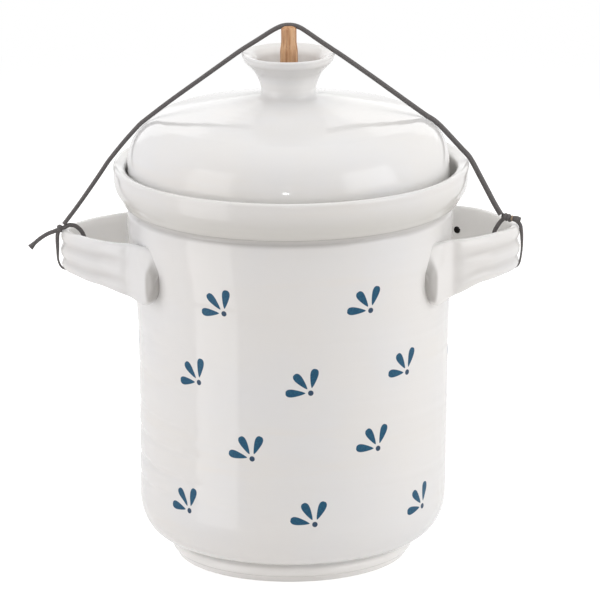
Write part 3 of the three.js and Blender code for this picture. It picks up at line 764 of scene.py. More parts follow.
def collar_outline():
    """From the groove over the body, up the collar's outer face and over its lip."""
    shoulder = (SHOULDER_RADIUS, BODY_HEIGHT - COLLAR_GROOVE_HEIGHT)
    groove = (SHOULDER_RADIUS - COLLAR_GROOVE, BODY_HEIGHT + 1 * MM)
    face = [(radius * MM, height * MM) for radius, height in COLLAR_PLACES]
    inner = LIP_RADIUS - LIP_WIDTH
    return [
        *corner(shoulder, (SHOULDER_RADIUS, BODY_HEIGHT - 0.4 * MM), groove, 8),
        *corner(groove, (groove[0] - 0.2 * MM, COLLAR_FOOT - 0.6 * MM), face[0], 8),
        *map(tuple, smooth_line(face, 40)),
        *corner((LIP_RADIUS, LIP_HEIGHT - LIP_ROUND), (LIP_RADIUS, LIP_HEIGHT),
                (LIP_RADIUS - LIP_ROUND, LIP_HEIGHT), 10),
        *corner((inner + 3 * MM, LIP_HEIGHT - 1 * MM), (inner, LIP_HEIGHT - 2 * MM),
                (inner, LIP_HEIGHT - 2 * LIP_ROUND - 1 * MM), 10),
    ]


def channel_outline():
    """Down into the water channel and over the throat wall."""
    inner = LIP_RADIUS - LIP_WIDTH
    half = (THROAT_OUTER_RADIUS - THROAT_RADIUS) / 2
    return [
        *corner((inner, CHANNEL_FLOOR + CHANNEL_ROUND), (inner, CHANNEL_FLOOR),
                (inner - CHANNEL_ROUND, CHANNEL_FLOOR), 5),
        *corner((THROAT_OUTER_RADIUS + CHANNEL_ROUND, CHANNEL_FLOOR),
                (THROAT_OUTER_RADIUS, CHANNEL_FLOOR),
                (THROAT_OUTER_RADIUS, CHANNEL_FLOOR + CHANNEL_ROUND), 5),
        *arc((THROAT_RADIUS + half, THROAT_TOP - half), half, half, 0, 180, 12),
    ]


def inside_outline():
    """From the throat down the crock's inner wall to the middle of its floor."""
    inner_shoulder = (SHOULDER_RADIUS - WALL, CHANNEL_FLOOR - THROAT_TAPER)
    return [
        *corner((THROAT_RADIUS, CHANNEL_FLOOR), (THROAT_RADIUS, CHANNEL_FLOOR - WALL),
                inner_shoulder, 8),
        *map(tuple, smooth_line([
            inner_shoulder,
            (WAIST_RADIUS - WALL, WAIST_HEIGHT),
            (BELLY_RADIUS - WALL, BELLY_HEIGHT),
        ], 24)),
        *arc((FOOT_RADIUS - WALL, BELLY_HEIGHT), BELLY_RADIUS - FOOT_RADIUS,
             BELLY_HEIGHT - CROCK_FLOOR, 0, -90, 16, BELLY_POWER),
        (0, CROCK_FLOOR),
    ]


def store_painted_shading(piece, values):
    """Painted shading stored on a piece, from 1, painted shade, to -1, painted light."""
    store = piece.data.attributes.new("painted_shading", "FLOAT", "POINT")
    store.data.foreach_set("value", np.asarray(values, np.float32).ravel())


def throwing_rings(radius, height, angle, share):
    """The potter's finger rings, a little aslant, which come and go, and a few deeper marks."""
    outside = share < OUTSIDE_SHARE
    on_wall = smoothstep(height, *RINGS_START) * (1 - smoothstep(height, *RINGS_END))
    climb = height + RING_CLIMB * np.sin(angle + 0.6)
    slow = 0.6 + 0.4 * np.sin(climb * (2 * math.pi / RING_FADE_PITCH) + 2 * angle)
    rings = sum(size * np.sin(climb * (2 * math.pi / (pitch * MM)) + phase)
                for pitch, size, phase in RING_WAVES)
    marks = 0
    for place, depth, turn in FINGER_MARKS:
        around = np.cos(angle - math.radians(turn))
        reach = smoothstep(around, *MARK_REACH)
        off = (height - place * MM - MARK_SLANT * around) / MARK_HALF_HEIGHT
        marks = marks + depth * MM * np.exp(-off ** 2) * reach
    return (RING_SWELL * slow * rings * on_wall - marks) * outside


def across_from(places, middle):
    """How far round the waist places lie from an angle in degrees that counts from the front."""
    angle = np.degrees(np.arctan2(places[:, 0], -places[:, 1]))
    return np.radians((angle - middle + 180) % 360 - 180) * WAIST_RADIUS


def map_sprigs(piece):
    """Gives each face near a sprig its own flat map, centred on the sprig's dot."""
    mesh = piece.data
    corners = read_all(mesh.vertices, "co", 3)[read_all(mesh.loops, "vertex_index", kind=int)]
    totals = read_all(mesh.polygons, "loop_total", kind=int)
    centre = np.repeat(read_all(mesh.polygons, "center", 3), totals, axis=0)
    outer = np.hypot(centre[:, 0], centre[:, 1]) > wall_radius(centre[:, 2]) - 2 * MM
    # A corner far from every sprig lies a metre away, where there is no paint
    local = np.full((len(corners), 2), 1.0)
    for middle, millimetres, turned in SPRIGS:
        height = millimetres * MM
        beside = abs(across_from(centre, middle)) < SPRIG_REACH
        near = outer & beside & (abs(centre[:, 2] - height) < SPRIG_REACH)
        across, up = across_from(corners[near], middle), corners[near, 2] - height
        cosine, sine = math.cos(math.radians(turned)), math.sin(math.radians(turned))
        local[near, 0] = across * cosine + up * sine
        local[near, 1] = up * cosine - across * sine
    layer = mesh.uv_layers.new(name="sprig")
    layer.data.foreach_set("uv", local.astype(np.float32).ravel())


# The foot ring and its recess are bare below this height and within this radius
BARE_HEIGHT = FOOT_RECESS + 0.2 * MM
BARE_RADIUS = FOOT_RADIUS - FOOT_EDGE * 0.4


def make_crock():
    piece = thrown("crock_wall", crock_outline(), CROCK_SIDES, throwing_rings, CROCK_LEAN)
    map_sprigs(piece)
    paint(piece, MATERIALS["crock"], MATERIALS["clay"])
    for polygon in piece.data.polygons:
        x, y, z = polygon.center
        if z < BARE_HEIGHT and math.hypot(x, y) < BARE_RADIUS:
            polygon.material_index = 1
    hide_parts("crock_body")
    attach(piece, "crock")


# Lid: sides of its rings, and the spacing of its rings outside
LID_SIDES = 192
LID_FINE = 1.3 * MM
BORE_EDGE = 0.6 * MM
# Faint ripples on the dome: their pitch, how fast they shift with height, and how deep they are
RIPPLE_PITCH = 6.4 * MM
RIPPLE_SHIFT = 260
RIPPLE = 0.05 * MM
# Share of the lid outline's points, from its start, on which ripples can lie
DOME_SHARE = 0.6
# Painted light on the rim below the first of these heights, and none above both
RIM_PAINTED_LIGHT_END = (SHOULDER_BASE - 5 * MM, SHOULDER_BASE + 2 * MM)
# Outside of the knob, as shares of its flare and of its height
KNOB_FLARE_SHARES = (0, 0.06, 0.18, 0.31, 0.54, 0.74)
KNOB_RISE_SHARES = (0.2, 0.3, 0.44, 0.55, 0.67, 0.76)
KNOB_UNDERCUT_SHARE = 0.88
# Inside of the knob: radius and drop below its lip, in millimetres
FUNNEL_PLACES = (
    (26.4, 0.5), (24, 1.1), (21.6, 2.3), (19.2, 4.6), (17.4, 8), (15.2, 12), (12, 16.4), (9.4, 18.6),
)
# Drop below the knob's lip, in millimetres, and its painted shading: painted shade under the lip
# where above 0, painted light lower on the neck where below 0
KNOB_PAINTED_SHADING = ((3, 0), (5.5, 0.38), (11, 0.3), (14.5, 0), (18, -0.5), (22, -0.5), (26, 0))
LID_LEAN = ((0, -0.7 * MM), (255 * MM, -0.7 * MM), (290 * MM, -0.4 * MM), (330 * MM, -0.4 * MM))


def knob_outline():
    """From the neck up the knob's flare, over its rolled lip and down its funnel to the bore."""
    neck_foot = KNOB_LIP - KNOB_HEIGHT
    flare = KNOB_RADIUS - NECK_RADIUS
    side = smooth_line([
        *((NECK_RADIUS + flare * out, neck_foot + KNOB_HEIGHT * up)
          for out, up in zip(KNOB_FLARE_SHARES, KNOB_RISE_SHARES)),
        (NECK_RADIUS + flare * KNOB_UNDERCUT_SHARE, KNOB_LIP - KNOB_LIP_HEIGHT),
        (KNOB_RADIUS - 0.3 * MM, KNOB_LIP - 1.7 * MM),
    ], 44)
    rolled = corner((KNOB_RADIUS - 0.1 * MM, KNOB_LIP - 1.2 * MM), (KNOB_RADIUS, KNOB_LIP - 0.1 * MM),
                    (KNOB_RADIUS - 1.1 * MM, KNOB_LIP), 8)
    funnel = smooth_line([
        *((radius * MM, KNOB_LIP - drop * MM) for radius, drop in FUNNEL_PLACES),
        (BORE_RADIUS + BORE_EDGE, KNOB_LIP - FUNNEL_DEPTH),
    ], 40)
    bore = (BORE_RADIUS, KNOB_LIP - FUNNEL_DEPTH - BORE_EDGE)
    return [*map(tuple, side), *rolled, *map(tuple, funnel), bore]


def lid_outline():
    """Once round the lid's section, from its rim up its outside, then down its inside."""
    centre = (LID_RADIUS - LID_SHOULDER_WIDTH, SHOULDER_BASE)
    shoulder = arc(centre, LID_SHOULDER_WIDTH, LID_SHOULDER_HEIGHT, 0, LID_SHOULDER_SWEEP, 40)
    neck_foot = KNOB_LIP - KNOB_HEIGHT
    inner = arc(centre, LID_SHOULDER_WIDTH - LID_WALL, LID_SHOULDER_HEIGHT - LID_WALL,
                LID_SHOULDER_SWEEP, 0, 20)
    fillet_out = 2 * NECK_FILLET
    slope = DOME_RISE / (shoulder[-1][0] - NECK_RADIUS)
    rim_inner = LID_RADIUS - LID_WALL
    outside = [
        *corner((LID_RADIUS - LID_EDGE_ROUND, LID_BASE), (LID_RADIUS, LID_BASE),
                (LID_RADIUS, LID_BASE + LID_EDGE_ROUND), 6),
        *shoulder,
        *corner((NECK_RADIUS + fillet_out, neck_foot - fillet_out * slope), (NECK_RADIUS, neck_foot),
                (NECK_RADIUS, neck_foot + NECK_FILLET), 14),
        *knob_outline(),
    ]
    inside = [
        (BORE_RADIUS, neck_foot - LID_WALL),
        *inner,
        (rim_inner, LID_BASE + LID_EDGE_ROUND),
        (rim_inner + LID_EDGE_ROUND, LID_BASE),
        (LID_RADIUS - LID_EDGE_ROUND, LID_BASE),
    ]
    return [*filled(outside, LID_FINE), *filled(inside, COARSE)]


def dome_ripples(radius, height, angle, share):
    rings = np.sin(radius * (2 * math.pi / RIPPLE_PITCH) + height * RIPPLE_SHIFT + angle)
    below_neck = height < KNOB_LIP - KNOB_HEIGHT - 2 * MM
    on_dome = (height > SHOULDER_BASE) & below_neck & (share < DOME_SHARE)
    return RIPPLE * rings * on_dome


def make_lid():
    piece = thrown("lid_dome", lid_outline(), LID_SIDES, dome_ripples, LID_LEAN)
    height = read_all(piece.data.vertices, "co", 3)[:, 2]
    # Painted shade under the knob's lip, painted light lower on the neck and on the rim
    knob_shading = np.interp((KNOB_LIP - height) / MM, *zip(*KNOB_PAINTED_SHADING))
    rim_painted_light = 1 - smoothstep(height, *RIM_PAINTED_LIGHT_END)
    store_painted_shading(piece, knob_shading - rim_painted_light)
    paint(piece, MATERIALS["with_painted_shading"])
    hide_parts("lid")
    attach(piece, "lid")


# Handles: steps along a strap, sides of its section, and how square the section is
STRAP_STEPS = 170
STRAP_SIDES = 72
STRAP_POWER = 3.2
# How much closer than on average the steps lie at both ends
STEPS_DRAWN_IN = 0.6
# Middle line of a strap in plan, from its end to its middle, as shares of its reach and half width
LOOP_REACH_SHARES = (0.38, 0.54, 0.7, 0.84, 0.955, 1)
LOOP_ACROSS_SHARES = (0.64, 0.55, 0.43, 0.29, 0.155, 0)
PRESSED_ANGLE_SHARE = 0.64
PRESSED_LIFT_SHARE = 0.4
# Shares count from 0 at a strap's middle to 1 at its ends. Past END_START_SHARE the strap's depth
# runs down to END_DEPTH_SHARE of itself. Past EDGE_START_SHARE its thickness runs down to about a
# quarter of itself, the root of what EDGE_LOSS leaves
END_START_SHARE = 0.86
END_DEPTH_SHARE = 0.3
EDGE_START_SHARE = 0.92
EDGE_LOSS = 0.93
# The upper part of each end sinks into the wall by this much, between these shares
END_SINK = 5 * MM
SINK_SHARES = (0.82, 0.98)
# The inner face thickens into the wall between these shares
IN_WALL_SHARES = (0.74, 0.86)
# Painted light on the strap's inner face, as far as these shares, and how strong it is
INNER_LIGHT_SHARES = (0.8, 0.86)
INNER_LIGHT = 0.8
# Where along the strap its height and depth are given: -1 front end, 1 rear end
STRAP_STATIONS = (-0.85, -0.45, 0, 0.45, 0.85)
# Angles of each strap's front and rear ends, in degrees, and its upper edge and depth at the
# stations. The left strap sits turned by a little
LEFT_SPREADS = (37.4, 36)
LEFT_TOPS = [HANDLE_TOP_LEFT + rise * MM for rise in (3.2, 2.0, 1.8, 2.0, 2.2)]
LEFT_DEPTHS = [depth * MM for depth in (36, 27.6, 24.4, 27, 35)]
LEFT_TURNED = -1.5
RIGHT_SPREADS = (34.4, 36)
RIGHT_TOPS = [HANDLE_TOP_RIGHT + rise * MM for rise in (0.5, 0, 0, 2.6, 2)]
RIGHT_DEPTHS = [depth * MM for depth in (38.5, 28.4, 26, 28, 36)]
# Finger grooves on the outer face: place and width as shares of the strap's depth
FINGER_GROOVES = ((-0.24, 0.1), (0.16, 0.1))
GROOVE_DEPTH = 1.5 * MM
# Painted shade in the finger grooves, as a share of the full painted shade
GROOVE_PAINTED_SHADE = 0.35
# The grooves run out between these shares
GROOVE_SHARES = (0.5, 0.8)
# How the strap's edge changes between its stations: 0 would be straight and 1 fully eased
STATION_EASE = 0.6


def eased(value, stations, sizes):
    """Sizes at stations, with a smooth change from each to the next."""
    value = np.clip(value, stations[0], stations[-1])
    place = np.clip(np.searchsorted(stations, value, side="right") - 1, 0, len(stations) - 2)
    first, last = np.array(stations)[place], np.array(stations)[place + 1]
    t = (value - first) / (last - first)
    t = t + (t * t * (3 - 2 * t) - t) * STATION_EASE
    sizes = np.array(sizes)
    return sizes[place] * (1 - t) + sizes[place + 1] * t


def half_loop(spread):
    """Middle line of the strap in plan, from its end on the wall out to the loop's middle."""
    end_radius = SHOULDER_RADIUS + HANDLE_PROUD - HANDLE_THICKNESS / 2
    end = (end_radius * math.cos(spread), end_radius * math.sin(spread))
    outer = SHOULDER_RADIUS + HANDLE_REACH - HANDLE_THICKNESS / 2
    leaving = spread * PRESSED_ANGLE_SHARE
    leaving_radius = end_radius + HANDLE_THICKNESS * PRESSED_LIFT_SHARE
    places = [end, (leaving_radius * math.cos(leaving), leaving_radius * math.sin(leaving))]
    for reach, across in zip(LOOP_REACH_SHARES, LOOP_ACROSS_SHARES):
        places.append((end[0] + (outer - end[0]) * reach, end[1] * across))
    return places


def strap_line(front_spread, rear_spread, share):
    """The whole middle line, at shares from -1 at one end to 1 at the other."""
    front = [(x, -y) for x, y in half_loop(front_spread)]
    rear = half_loop(rear_spread)[-2::-1]
    fine = smooth_line([*front, *rear], 1200)
    places = np.linspace(-1, 1, len(fine))
    return np.stack([np.interp(share, places, fine[:, k]) for k in (0, 1)], 1)


def strap_section():
    """The strap's section, as places from -1 to 1 outward and upward, and how deep in a finger
    groove each lies."""
    turn = np.arange(STRAP_SIDES) * (2 * math.pi / STRAP_SIDES)
    cosine, sine = np.cos(turn), np.sin(turn)
    out = np.sign(cosine) * abs(cosine) ** (2 / STRAP_POWER)
    up = np.sign(sine) * abs(sine) ** (2 / STRAP_POWER)
    groove = sum(np.exp(-(((up / 2 - place) / width) ** 2)) for place, width in FINGER_GROOVES)
    return out, up, groove * np.clip(out, 0, 1)


def strap_mesh(name, side, spreads, tops, depths):
    """A pulled strap on the right (side 1) or the left (side -1), as a loop with its ends pressed on
    the wall. spreads are the angles of its front and rear ends, in degrees. tops and depths, in
    metres, are the heights of its upper edge and its depths at STRAP_STATIONS."""
    step = np.linspace(0, 2 * math.pi, STRAP_STEPS + 1)
    share = (step - STEPS_DRAWN_IN * np.sin(step)) / math.pi - 1
    line = strap_line(*(math.radians(end) for end in spreads[::side]), share)
    tangent = np.gradient(line, axis=0)
    tangent /= np.linalg.norm(tangent, axis=1)[:, None]
    outward = np.stack([tangent[:, 1], -tangent[:, 0]], 1)
    from_middle = abs(share)
    depth = eased(side * share, STRAP_STATIONS, depths)
    centre = eased(side * share, STRAP_STATIONS, tops) - depth / 2
    to_end = np.clip((from_middle - END_START_SHARE) / (1 - END_START_SHARE), 0, 1)
    depth_kept = np.sqrt(1 - (1 - END_DEPTH_SHARE ** 2) * to_end ** 2)
    to_edge = np.clip((from_middle - EDGE_START_SHARE) / (1 - EDGE_START_SHARE), 0, 1)
    thick_kept = np.sqrt(1 - EDGE_LOSS * to_edge ** 2)
    out, up, groove = strap_section()
    vertices, painted_shading = [], []
    for i in range(len(line)):
        fade = 1 - smoothstep(from_middle[i], *GROOVE_SHARES)
        # Painted shade on the side of each end and in the grooves, painted light on the inner face
        end_shade = smoothstep(to_edge[i], 0, 0.5) * (1 - smoothstep(up, 0.35, 0.95))
        inner_light = smoothstep(-out, 0.2, 0.8) * (1 - smoothstep(from_middle[i], *INNER_LIGHT_SHARES))
        painted_shading.append(np.maximum(end_shade, groove * fade * GROOVE_PAINTED_SHADE) - inner_light * INNER_LIGHT)
        pressed = smoothstep(from_middle[i], *SINK_SHARES) * smoothstep(up, 0.05, 0.85)
        in_wall = 1 + (out < 0) * smoothstep(from_middle[i], *IN_WALL_SHARES)
        away = out * (HANDLE_THICKNESS / 2) * thick_kept[i] * in_wall
        away = away - groove * GROOVE_DEPTH * fade - END_SINK * pressed
        rise = up * depth[i] / 2 * depth_kept[i]
        x = line[i, 0] + outward[i, 0] * away
        y = line[i, 1] + outward[i, 1] * away
        vertices.append(np.stack([side * x, side * y, centre[i] + rise], 1))
    count = len(line) * STRAP_SIDES
    faces = ring_faces(len(line), STRAP_SIDES)
    faces += [tuple(range(STRAP_SIDES)), tuple(range(count - STRAP_SIDES, count))]
    piece = add_object(name, np.array(vertices).reshape(-1, 3), faces)
    store_painted_shading(piece, painted_shading)
    return piece


def make_handle(name, node, side, spreads, tops, depths, turned):
    """One handle, turned round the crock's axis by a few degrees."""
    piece = strap_mesh(name, side, spreads, tops, depths)
    piece.data.transform(Matrix.Rotation(math.radians(turned), 4, "Z"))
    paint(piece, MATERIALS["with_painted_shading"])
    if side > 0:
        cut_away(piece, hole_drill())
        darken_hole(piece)
    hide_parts(node)
    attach(piece, "crock")


def hole_line():
    """Middle and direction of the small hole through the right strap's rear arm."""
    reach = SHOULDER_RADIUS + HANDLE_HOLE_REACH
    middle = Vector((reach * math.cos(HANDLE_HOLE_ANGLE), reach * math.sin(HANDLE_HOLE_ANGLE),
                     HANDLE_TOP_RIGHT - HANDLE_HOLE_DROP))
    return middle, Vector((math.sin(HANDLE_HOLE_TURN), math.cos(HANDLE_HOLE_TURN), 0))


def hole_drill():
    """A round bar that cuts the small hole."""
    middle, along = hole_line()
    upward = Vector((0, 0, 1))
    across = along.cross(upward)
    section = []
    for i in range(HOLE_SIDES):
        angle = 2 * math.pi * i / HOLE_SIDES
        aside = across * math.cos(angle) + upward * math.sin(angle)
        section.append(middle + HANDLE_HOLE_RADIUS * aside)
    return bar("handle_drill", section, along * (HANDLE_THICKNESS * 1.2))


def darken_hole(piece):
    """Gives the hole's wall a near-black material of painted shade."""
    paint(piece, MATERIALS["hole"])
    middle, along = hole_line()
    for polygon in piece.data.polygons:
        offset = polygon.center - middle
        aside = (offset - along * offset.dot(along)).length
        faces_axis = abs(polygon.normal.dot(along)) < HOLE_WALL_TILT
        if faces_axis and aside < HANDLE_HOLE_RADIUS * HOLE_WALL_REACH:
            polygon.material_index = 1


def bar(name, section, half):
    """A straight bar with this section, as long to each side of it as the vector half."""
    count = len(section)
    faces = [*ring_faces(2, count), tuple(range(count)), tuple(range(count, 2 * count))]
    ends = [*(place - half for place in section), *(place + half for place in section)]
    return add_object(name, ends, faces, smooth=False)


def cut_away(piece, cutter):
    """Cuts one solid out of another, leaving a plain mesh with smooth faces and sharp edges."""
    cut = piece.modifiers.new("cut", "BOOLEAN")
    cut.object = cutter
    cut.operation = "DIFFERENCE"
    cut.solver = "EXACT"
    ready = piece.evaluated_get(bpy.context.evaluated_depsgraph_get())
    mesh = bpy.data.meshes.new_from_object(ready)
    piece.modifiers.clear()
    piece.data = mesh
    bpy.data.objects.remove(cutter)
    mesh.polygons.foreach_set("use_smooth", [True] * len(mesh.polygons))
    mesh.set_sharp_from_angle(angle=math.radians(40))


# Press: sides of its rings, the spacing of its rings, and the steps of the rod's taper
ROD_SIDES = 48
ROD_SPACING = 2 * MM
TAPER_STEPS = 12
PLATE_SIDES = 120
PLATE_SPACING = 2.5 * MM


def notch_cutter():
    """A bar with a round underside that cuts the cord's notch across the rod's tip."""
    half = CORD_RADIUS + NOTCH_BESIDE
    bottom = APEX_HEIGHT + NOTCH_UNDER
    over_tip = ROD_TOP + 4 * MM
    section = [(-half, over_tip), (-half, bottom), *arc((0, bottom), half, half, 180, 360, 12),
               (half, over_tip)]
    return bar("rod_notch_cutter", [Vector((0, y, z)) for y, z in section],
               Vector((ROD_RADIUS * 2, 0, 0)))


def make_rod():
    taper_top = ROD_TOP - ROD_TIP_LENGTH
    taper = []
    for i in range(TAPER_STEPS + 1):
        share = i / TAPER_STEPS
        wider = (ROD_RADIUS - ROD_TIP_RADIUS) * (1 + math.cos(math.pi * share)) / 2
        taper.append((ROD_TIP_RADIUS + wider, taper_top - ROD_TAPER_LENGTH * (1 - share)))
    outline = [
        (0, ROD_LOW.z),
        (ROD_RADIUS, ROD_LOW.z),
        *taper,
        *arc((ROD_TIP_RADIUS - ROD_TIP_ROUND_WIDTH, ROD_TOP - ROD_TIP_ROUND),
             ROD_TIP_ROUND_WIDTH, ROD_TIP_ROUND, 0, 90, 10),
        (0, ROD_TOP),
    ]
    piece = thrown("rod", filled(outline, ROD_SPACING), ROD_SIDES)
    cut_away(piece, notch_cutter())
    paint(piece, MATERIALS["rod"])
    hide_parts("press_rod")
    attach(piece, "press")


def make_plate():
    base, radius, boss_top = PLATE_LOW.z, PLATE_HIGH.x, PLATE_HIGH.z
    top = base + PLATE_THICKNESS
    edge, boss, socket = PLATE_EDGE, PLATE_BOSS_RADIUS, PLATE_SOCKET_RADIUS
    outline = [
        (0, base),
        *arc((radius - edge, base + edge), edge, edge, -90, 0, 8),
        *round_edge((radius, top), edge),
        *corner((boss + edge, top), (boss, top), (boss, top + edge), 6),
        *round_edge((boss, boss_top), edge),
        (socket + PLATE_SOCKET_EDGE, boss_top),
        (socket, boss_top - PLATE_SOCKET_EDGE),
        (socket, base + PLATE_SOCKET_FLOOR),
        (0, base + PLATE_SOCKET_FLOOR),
    ]
    piece = thrown("plate", filled(outline, PLATE_SPACING), PLATE_SIDES)
    piece.data.set_sharp_from_angle(angle=math.radians(50))
    paint(piece, MATERIALS["plate"])
    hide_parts("press_plate")
    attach(piece, "press")


# Elastic cord. Its routes are those of the CAD model, in metres, apart from the loops' lowest parts
# and a slightly longer right end
APEX_HEIGHT = 0.3321
SPAN_ROUTE = [
    (-0.1386, 0, 0.2082), (-0.1299, 0, 0.2198), (-0.1167, 0, 0.2388), (-0.1112, 0, 0.2471),
    (-0.1084, 0, 0.2508), (-0.1006, 0, 0.2604), (-0.0934, 0, 0.2685), (-0.091, 0, 0.271),
    (-0.0881, 0, 0.2734), (-0.0734, 0, 0.2847), (-0.052, 0, 0.3002), (-0.0315, 0, 0.315),
    (-0.0286, 0, 0.317), (-0.018, 0, 0.3237), (-0.0105, 0, 0.3285), (-0.0068, 0, 0.3305),
    (-0.0036, 0, 0.3317), (0, 0, APEX_HEIGHT),
    (0.0036, 0, 0.3317), (0.0068, 0, 0.3305), (0.0105, -0.0006, 0.3283), (0.018, -0.0019, 0.3232),
    (0.0274, -0.0033, 0.317), (0.0304, -0.0034, 0.315), (0.052, -0.0024, 0.2992),
    (0.073, -0.0014, 0.2833), (0.084, -0.0008, 0.2751), (0.0873, -0.0006, 0.273),
    (0.0903, -0.0004, 0.2705), (0.093, -0.0002, 0.2678), (0.1055, 0, 0.2539), (0.109, 0, 0.2501),
    (0.1115, 0, 0.2462), (0.1158, 0, 0.2379), (0.1207, 0, 0.2283), (0.1258, 0, 0.2184),
    (0.129, 0, 0.2129),
]
LEFT_KNOT = Vector((-0.1412, 0, 0.2053))
# Loops, tail and end also run on into their knots
LEFT_LOOP_ROUTE = [
    (-0.1407, 0, 0.2054), (-0.1382, 0, 0.2062), (-0.1354, 0, 0.2076), (-0.1316, 0, 0.207),
    (-0.1281, 0, 0.2039), (-0.1262, 0, 0.1994), (-0.1262, 0.0005, 0.19), (-0.1272, 0.001, 0.182),
    (-0.1304, 0.002, 0.1795), (-0.1355, 0.003, 0.1786), (-0.1402, 0.0036, 0.1798),
    (-0.1424, 0.0038, 0.1838), (-0.1428, 0.003, 0.192), (-0.1428, 0.0014, 0.199),
    (-0.1425, 0.0004, 0.202), (-0.1418, 0, 0.2046),
]
RIGHT_LOOP_ROUTE = [
    (0.1313, 0, 0.2102), (0.1292, 0, 0.2084), (0.1272, 0, 0.2056), (0.1254, 0, 0.2022),
    (0.1244, 0, 0.196), (0.1248, 0, 0.1885), (0.1274, -0.0004, 0.1822), (0.1316, -0.0008, 0.1792),
    (0.1362, -0.0012, 0.179), (0.1398, -0.0016, 0.1812), (0.1417, -0.0018, 0.189),
    (0.142, -0.0016, 0.197), (0.1416, -0.0014, 0.2032), (0.1409, -0.0012, 0.2064),
    (0.1388, -0.0009, 0.2088), (0.1372, -0.0006, 0.2098),
]
LEFT_TAIL_ROUTE = [
    (-0.1416, 0, 0.205), (-0.1444, 0, 0.2038), (-0.1485, -0.0004, 0.2023),
    (-0.153, -0.0008, 0.1996), (-0.1566, -0.001, 0.1966), (-0.1593, -0.0012, 0.1939),
]
RIGHT_END_ROUTE = [
    (0.1325, 0.0001, 0.2105), (0.1356, -0.0004, 0.2103), (0.1378, -0.0008, 0.21),
    (0.1412, -0.0012, 0.2092),
]
# The run is in five stretches, which part beside the rod and on the lid's shoulder
ROD_REACH = 6 * MM
SHOULDER_REACH = 91 * MM
# Turns of cord that make the right knot: their middle line
RIGHT_TURNS_START = Vector((0.1302, 0, 0.2116))
RIGHT_TURNS_END = Vector((0.1352, -0.0004, 0.2102))
RIGHT_TURNS_REACH = 1.35 * MM
RIGHT_TURNS = 2.6
RIGHT_TURNS_THICKNESS = 1.1 * MM
TURN_STEPS = 28
TURN_START = 0.8
# The pale core winds once past the end of the turns, by this share of their length
CORE_PAST = 0.14
CORE_THICKNESS = 0.7 * MM
# Left knot: size of its overhand knot, thickness of its cord, and its tilt in radians
LEFT_KNOT_SIZE = 0.52 * MM
LEFT_KNOT_THICKNESS = 1.02 * MM
LEFT_KNOT_TILT = 0.5
KNOT_DEPTH = 1.4
KNOT_STEPS = 90
KNOT_START = 0.4
# How thick the cord is along a piece, as (share of its length, size) pairs
PULLED_THIN = ((0, 1), (0.3, 1), (0.6, 0.5), (0.74, 0.5), (0.86, 0.85), (1, 1))
FRAYED = ((0, 1), (0.82, 0.95), (0.93, 1.25), (1, 1.5))
KNOBBLY = ((0, 0.9), (0.25, 1.08), (0.5, 0.92), (0.8, 1.06), (1, 0.9))
CUT_END = ((0, 0.9), (0.4, 1.2), (0.75, 1.6), (1, 1.3))
# The braid is less stretched towards the right knot, and so thicker
SPAN_GIRTH = {
    "cord_left_low": (1, 1.04), "cord_left_high": (1.04, 1.12), "cord_over_rod": (1.12, 1.12),
    "cord_right_high": (1.12, 1.24), "cord_right_low": (1.24, 1.32),
}
CORD_SIDES = 32
CORD_STEP = 0.25 * MM
BRAID_HEIGHT = 0.09 * MM
# Share of the braid's height that sinks below the cord's own radius
BRAID_SUNK = 0.7


def cord_tree():
    """Geometry Nodes that sweep a braided round cord along a curve."""
    tree = bpy.data.node_groups.new("braided_cord", "GeometryNodeTree")
    face = tree.interface
    face.new_socket("Geometry", in_out="INPUT", socket_type="NodeSocketGeometry")
    sizes = {
        "Radius": CORD_RADIUS, "Step": CORD_STEP, "Braid height": BRAID_HEIGHT,
        "Strand pitch": STRAND_PITCH,
    }
    for label, size in sizes.items():
        face.new_socket(label, in_out="INPUT", socket_type="NodeSocketFloat").default_value = size
    for label, count in {"Sides": CORD_SIDES, "Strands": STRANDS}.items():
        face.new_socket(label, in_out="INPUT", socket_type="NodeSocketInt").default_value = count
    face.new_socket("Material", in_out="INPUT", socket_type="NodeSocketMaterial")
    face.new_socket("Geometry", in_out="OUTPUT", socket_type="NodeSocketGeometry")
    net = Net(tree)
    given = net.node("NodeGroupInput")
    even = net.node("GeometryNodeResampleCurve", {"mode": "LENGTH"},
                    {"Curve": given, "Length": given.out("Step")})
    length = net.node("GeometryNodeSplineParameter", output="Length")
    path = net.node("GeometryNodeStoreNamedAttribute", {"data_type": "FLOAT", "domain": "POINT"},
                    {"Geometry": even, "Name": "along", "Value": length})
    ring = net.node("GeometryNodeCurvePrimitiveCircle", {"mode": "RADIUS"},
                    {"Resolution": given.out("Sides"), "Radius": given.out("Radius")})
    turn = net.node("GeometryNodeSplineParameter", output="Factor")
    ring = net.node("GeometryNodeStoreNamedAttribute", {"data_type": "FLOAT", "domain": "POINT"},
                    {"Geometry": ring, "Name": "turn", "Value": turn})
    tube = net.node("GeometryNodeCurveToMesh", {},
                    {"Curve": path, "Profile Curve": ring, "Fill Caps": True})
    along = net.node("GeometryNodeInputNamedAttribute", {"data_type": "FLOAT"}, {"Name": "along"})
    round_turn = net.node("GeometryNodeInputNamedAttribute", {"data_type": "FLOAT"}, {"Name": "turn"})
    climb = along / given.out("Strand pitch")
    half_turns = given.out("Strands") * math.pi
    over = abs(((round_turn + climb) * half_turns).maths("SINE"))
    under = abs(((round_turn - climb) * half_turns).maths("SINE"))
    ridge = (over.maths("MAXIMUM", under) - BRAID_SUNK) * given.out("Braid height")
    normal = net.node("GeometryNodeInputNormal")
    offset = net.node("ShaderNodeVectorMath", {"operation": "SCALE"}, {0: normal, "Scale": ridge})
    shaped = net.node("GeometryNodeSetPosition", {}, {"Geometry": tube, "Offset": offset})
    dressed = net.node("GeometryNodeSetMaterial", {},
                       {"Geometry": shaped, "Material": given.out("Material")})
    real = net.node("GeometryNodeRealizeInstances", {}, [dressed])
    net.node("NodeGroupOutput", {}, [real])
    return tree


CORD_TREE = cord_tree()


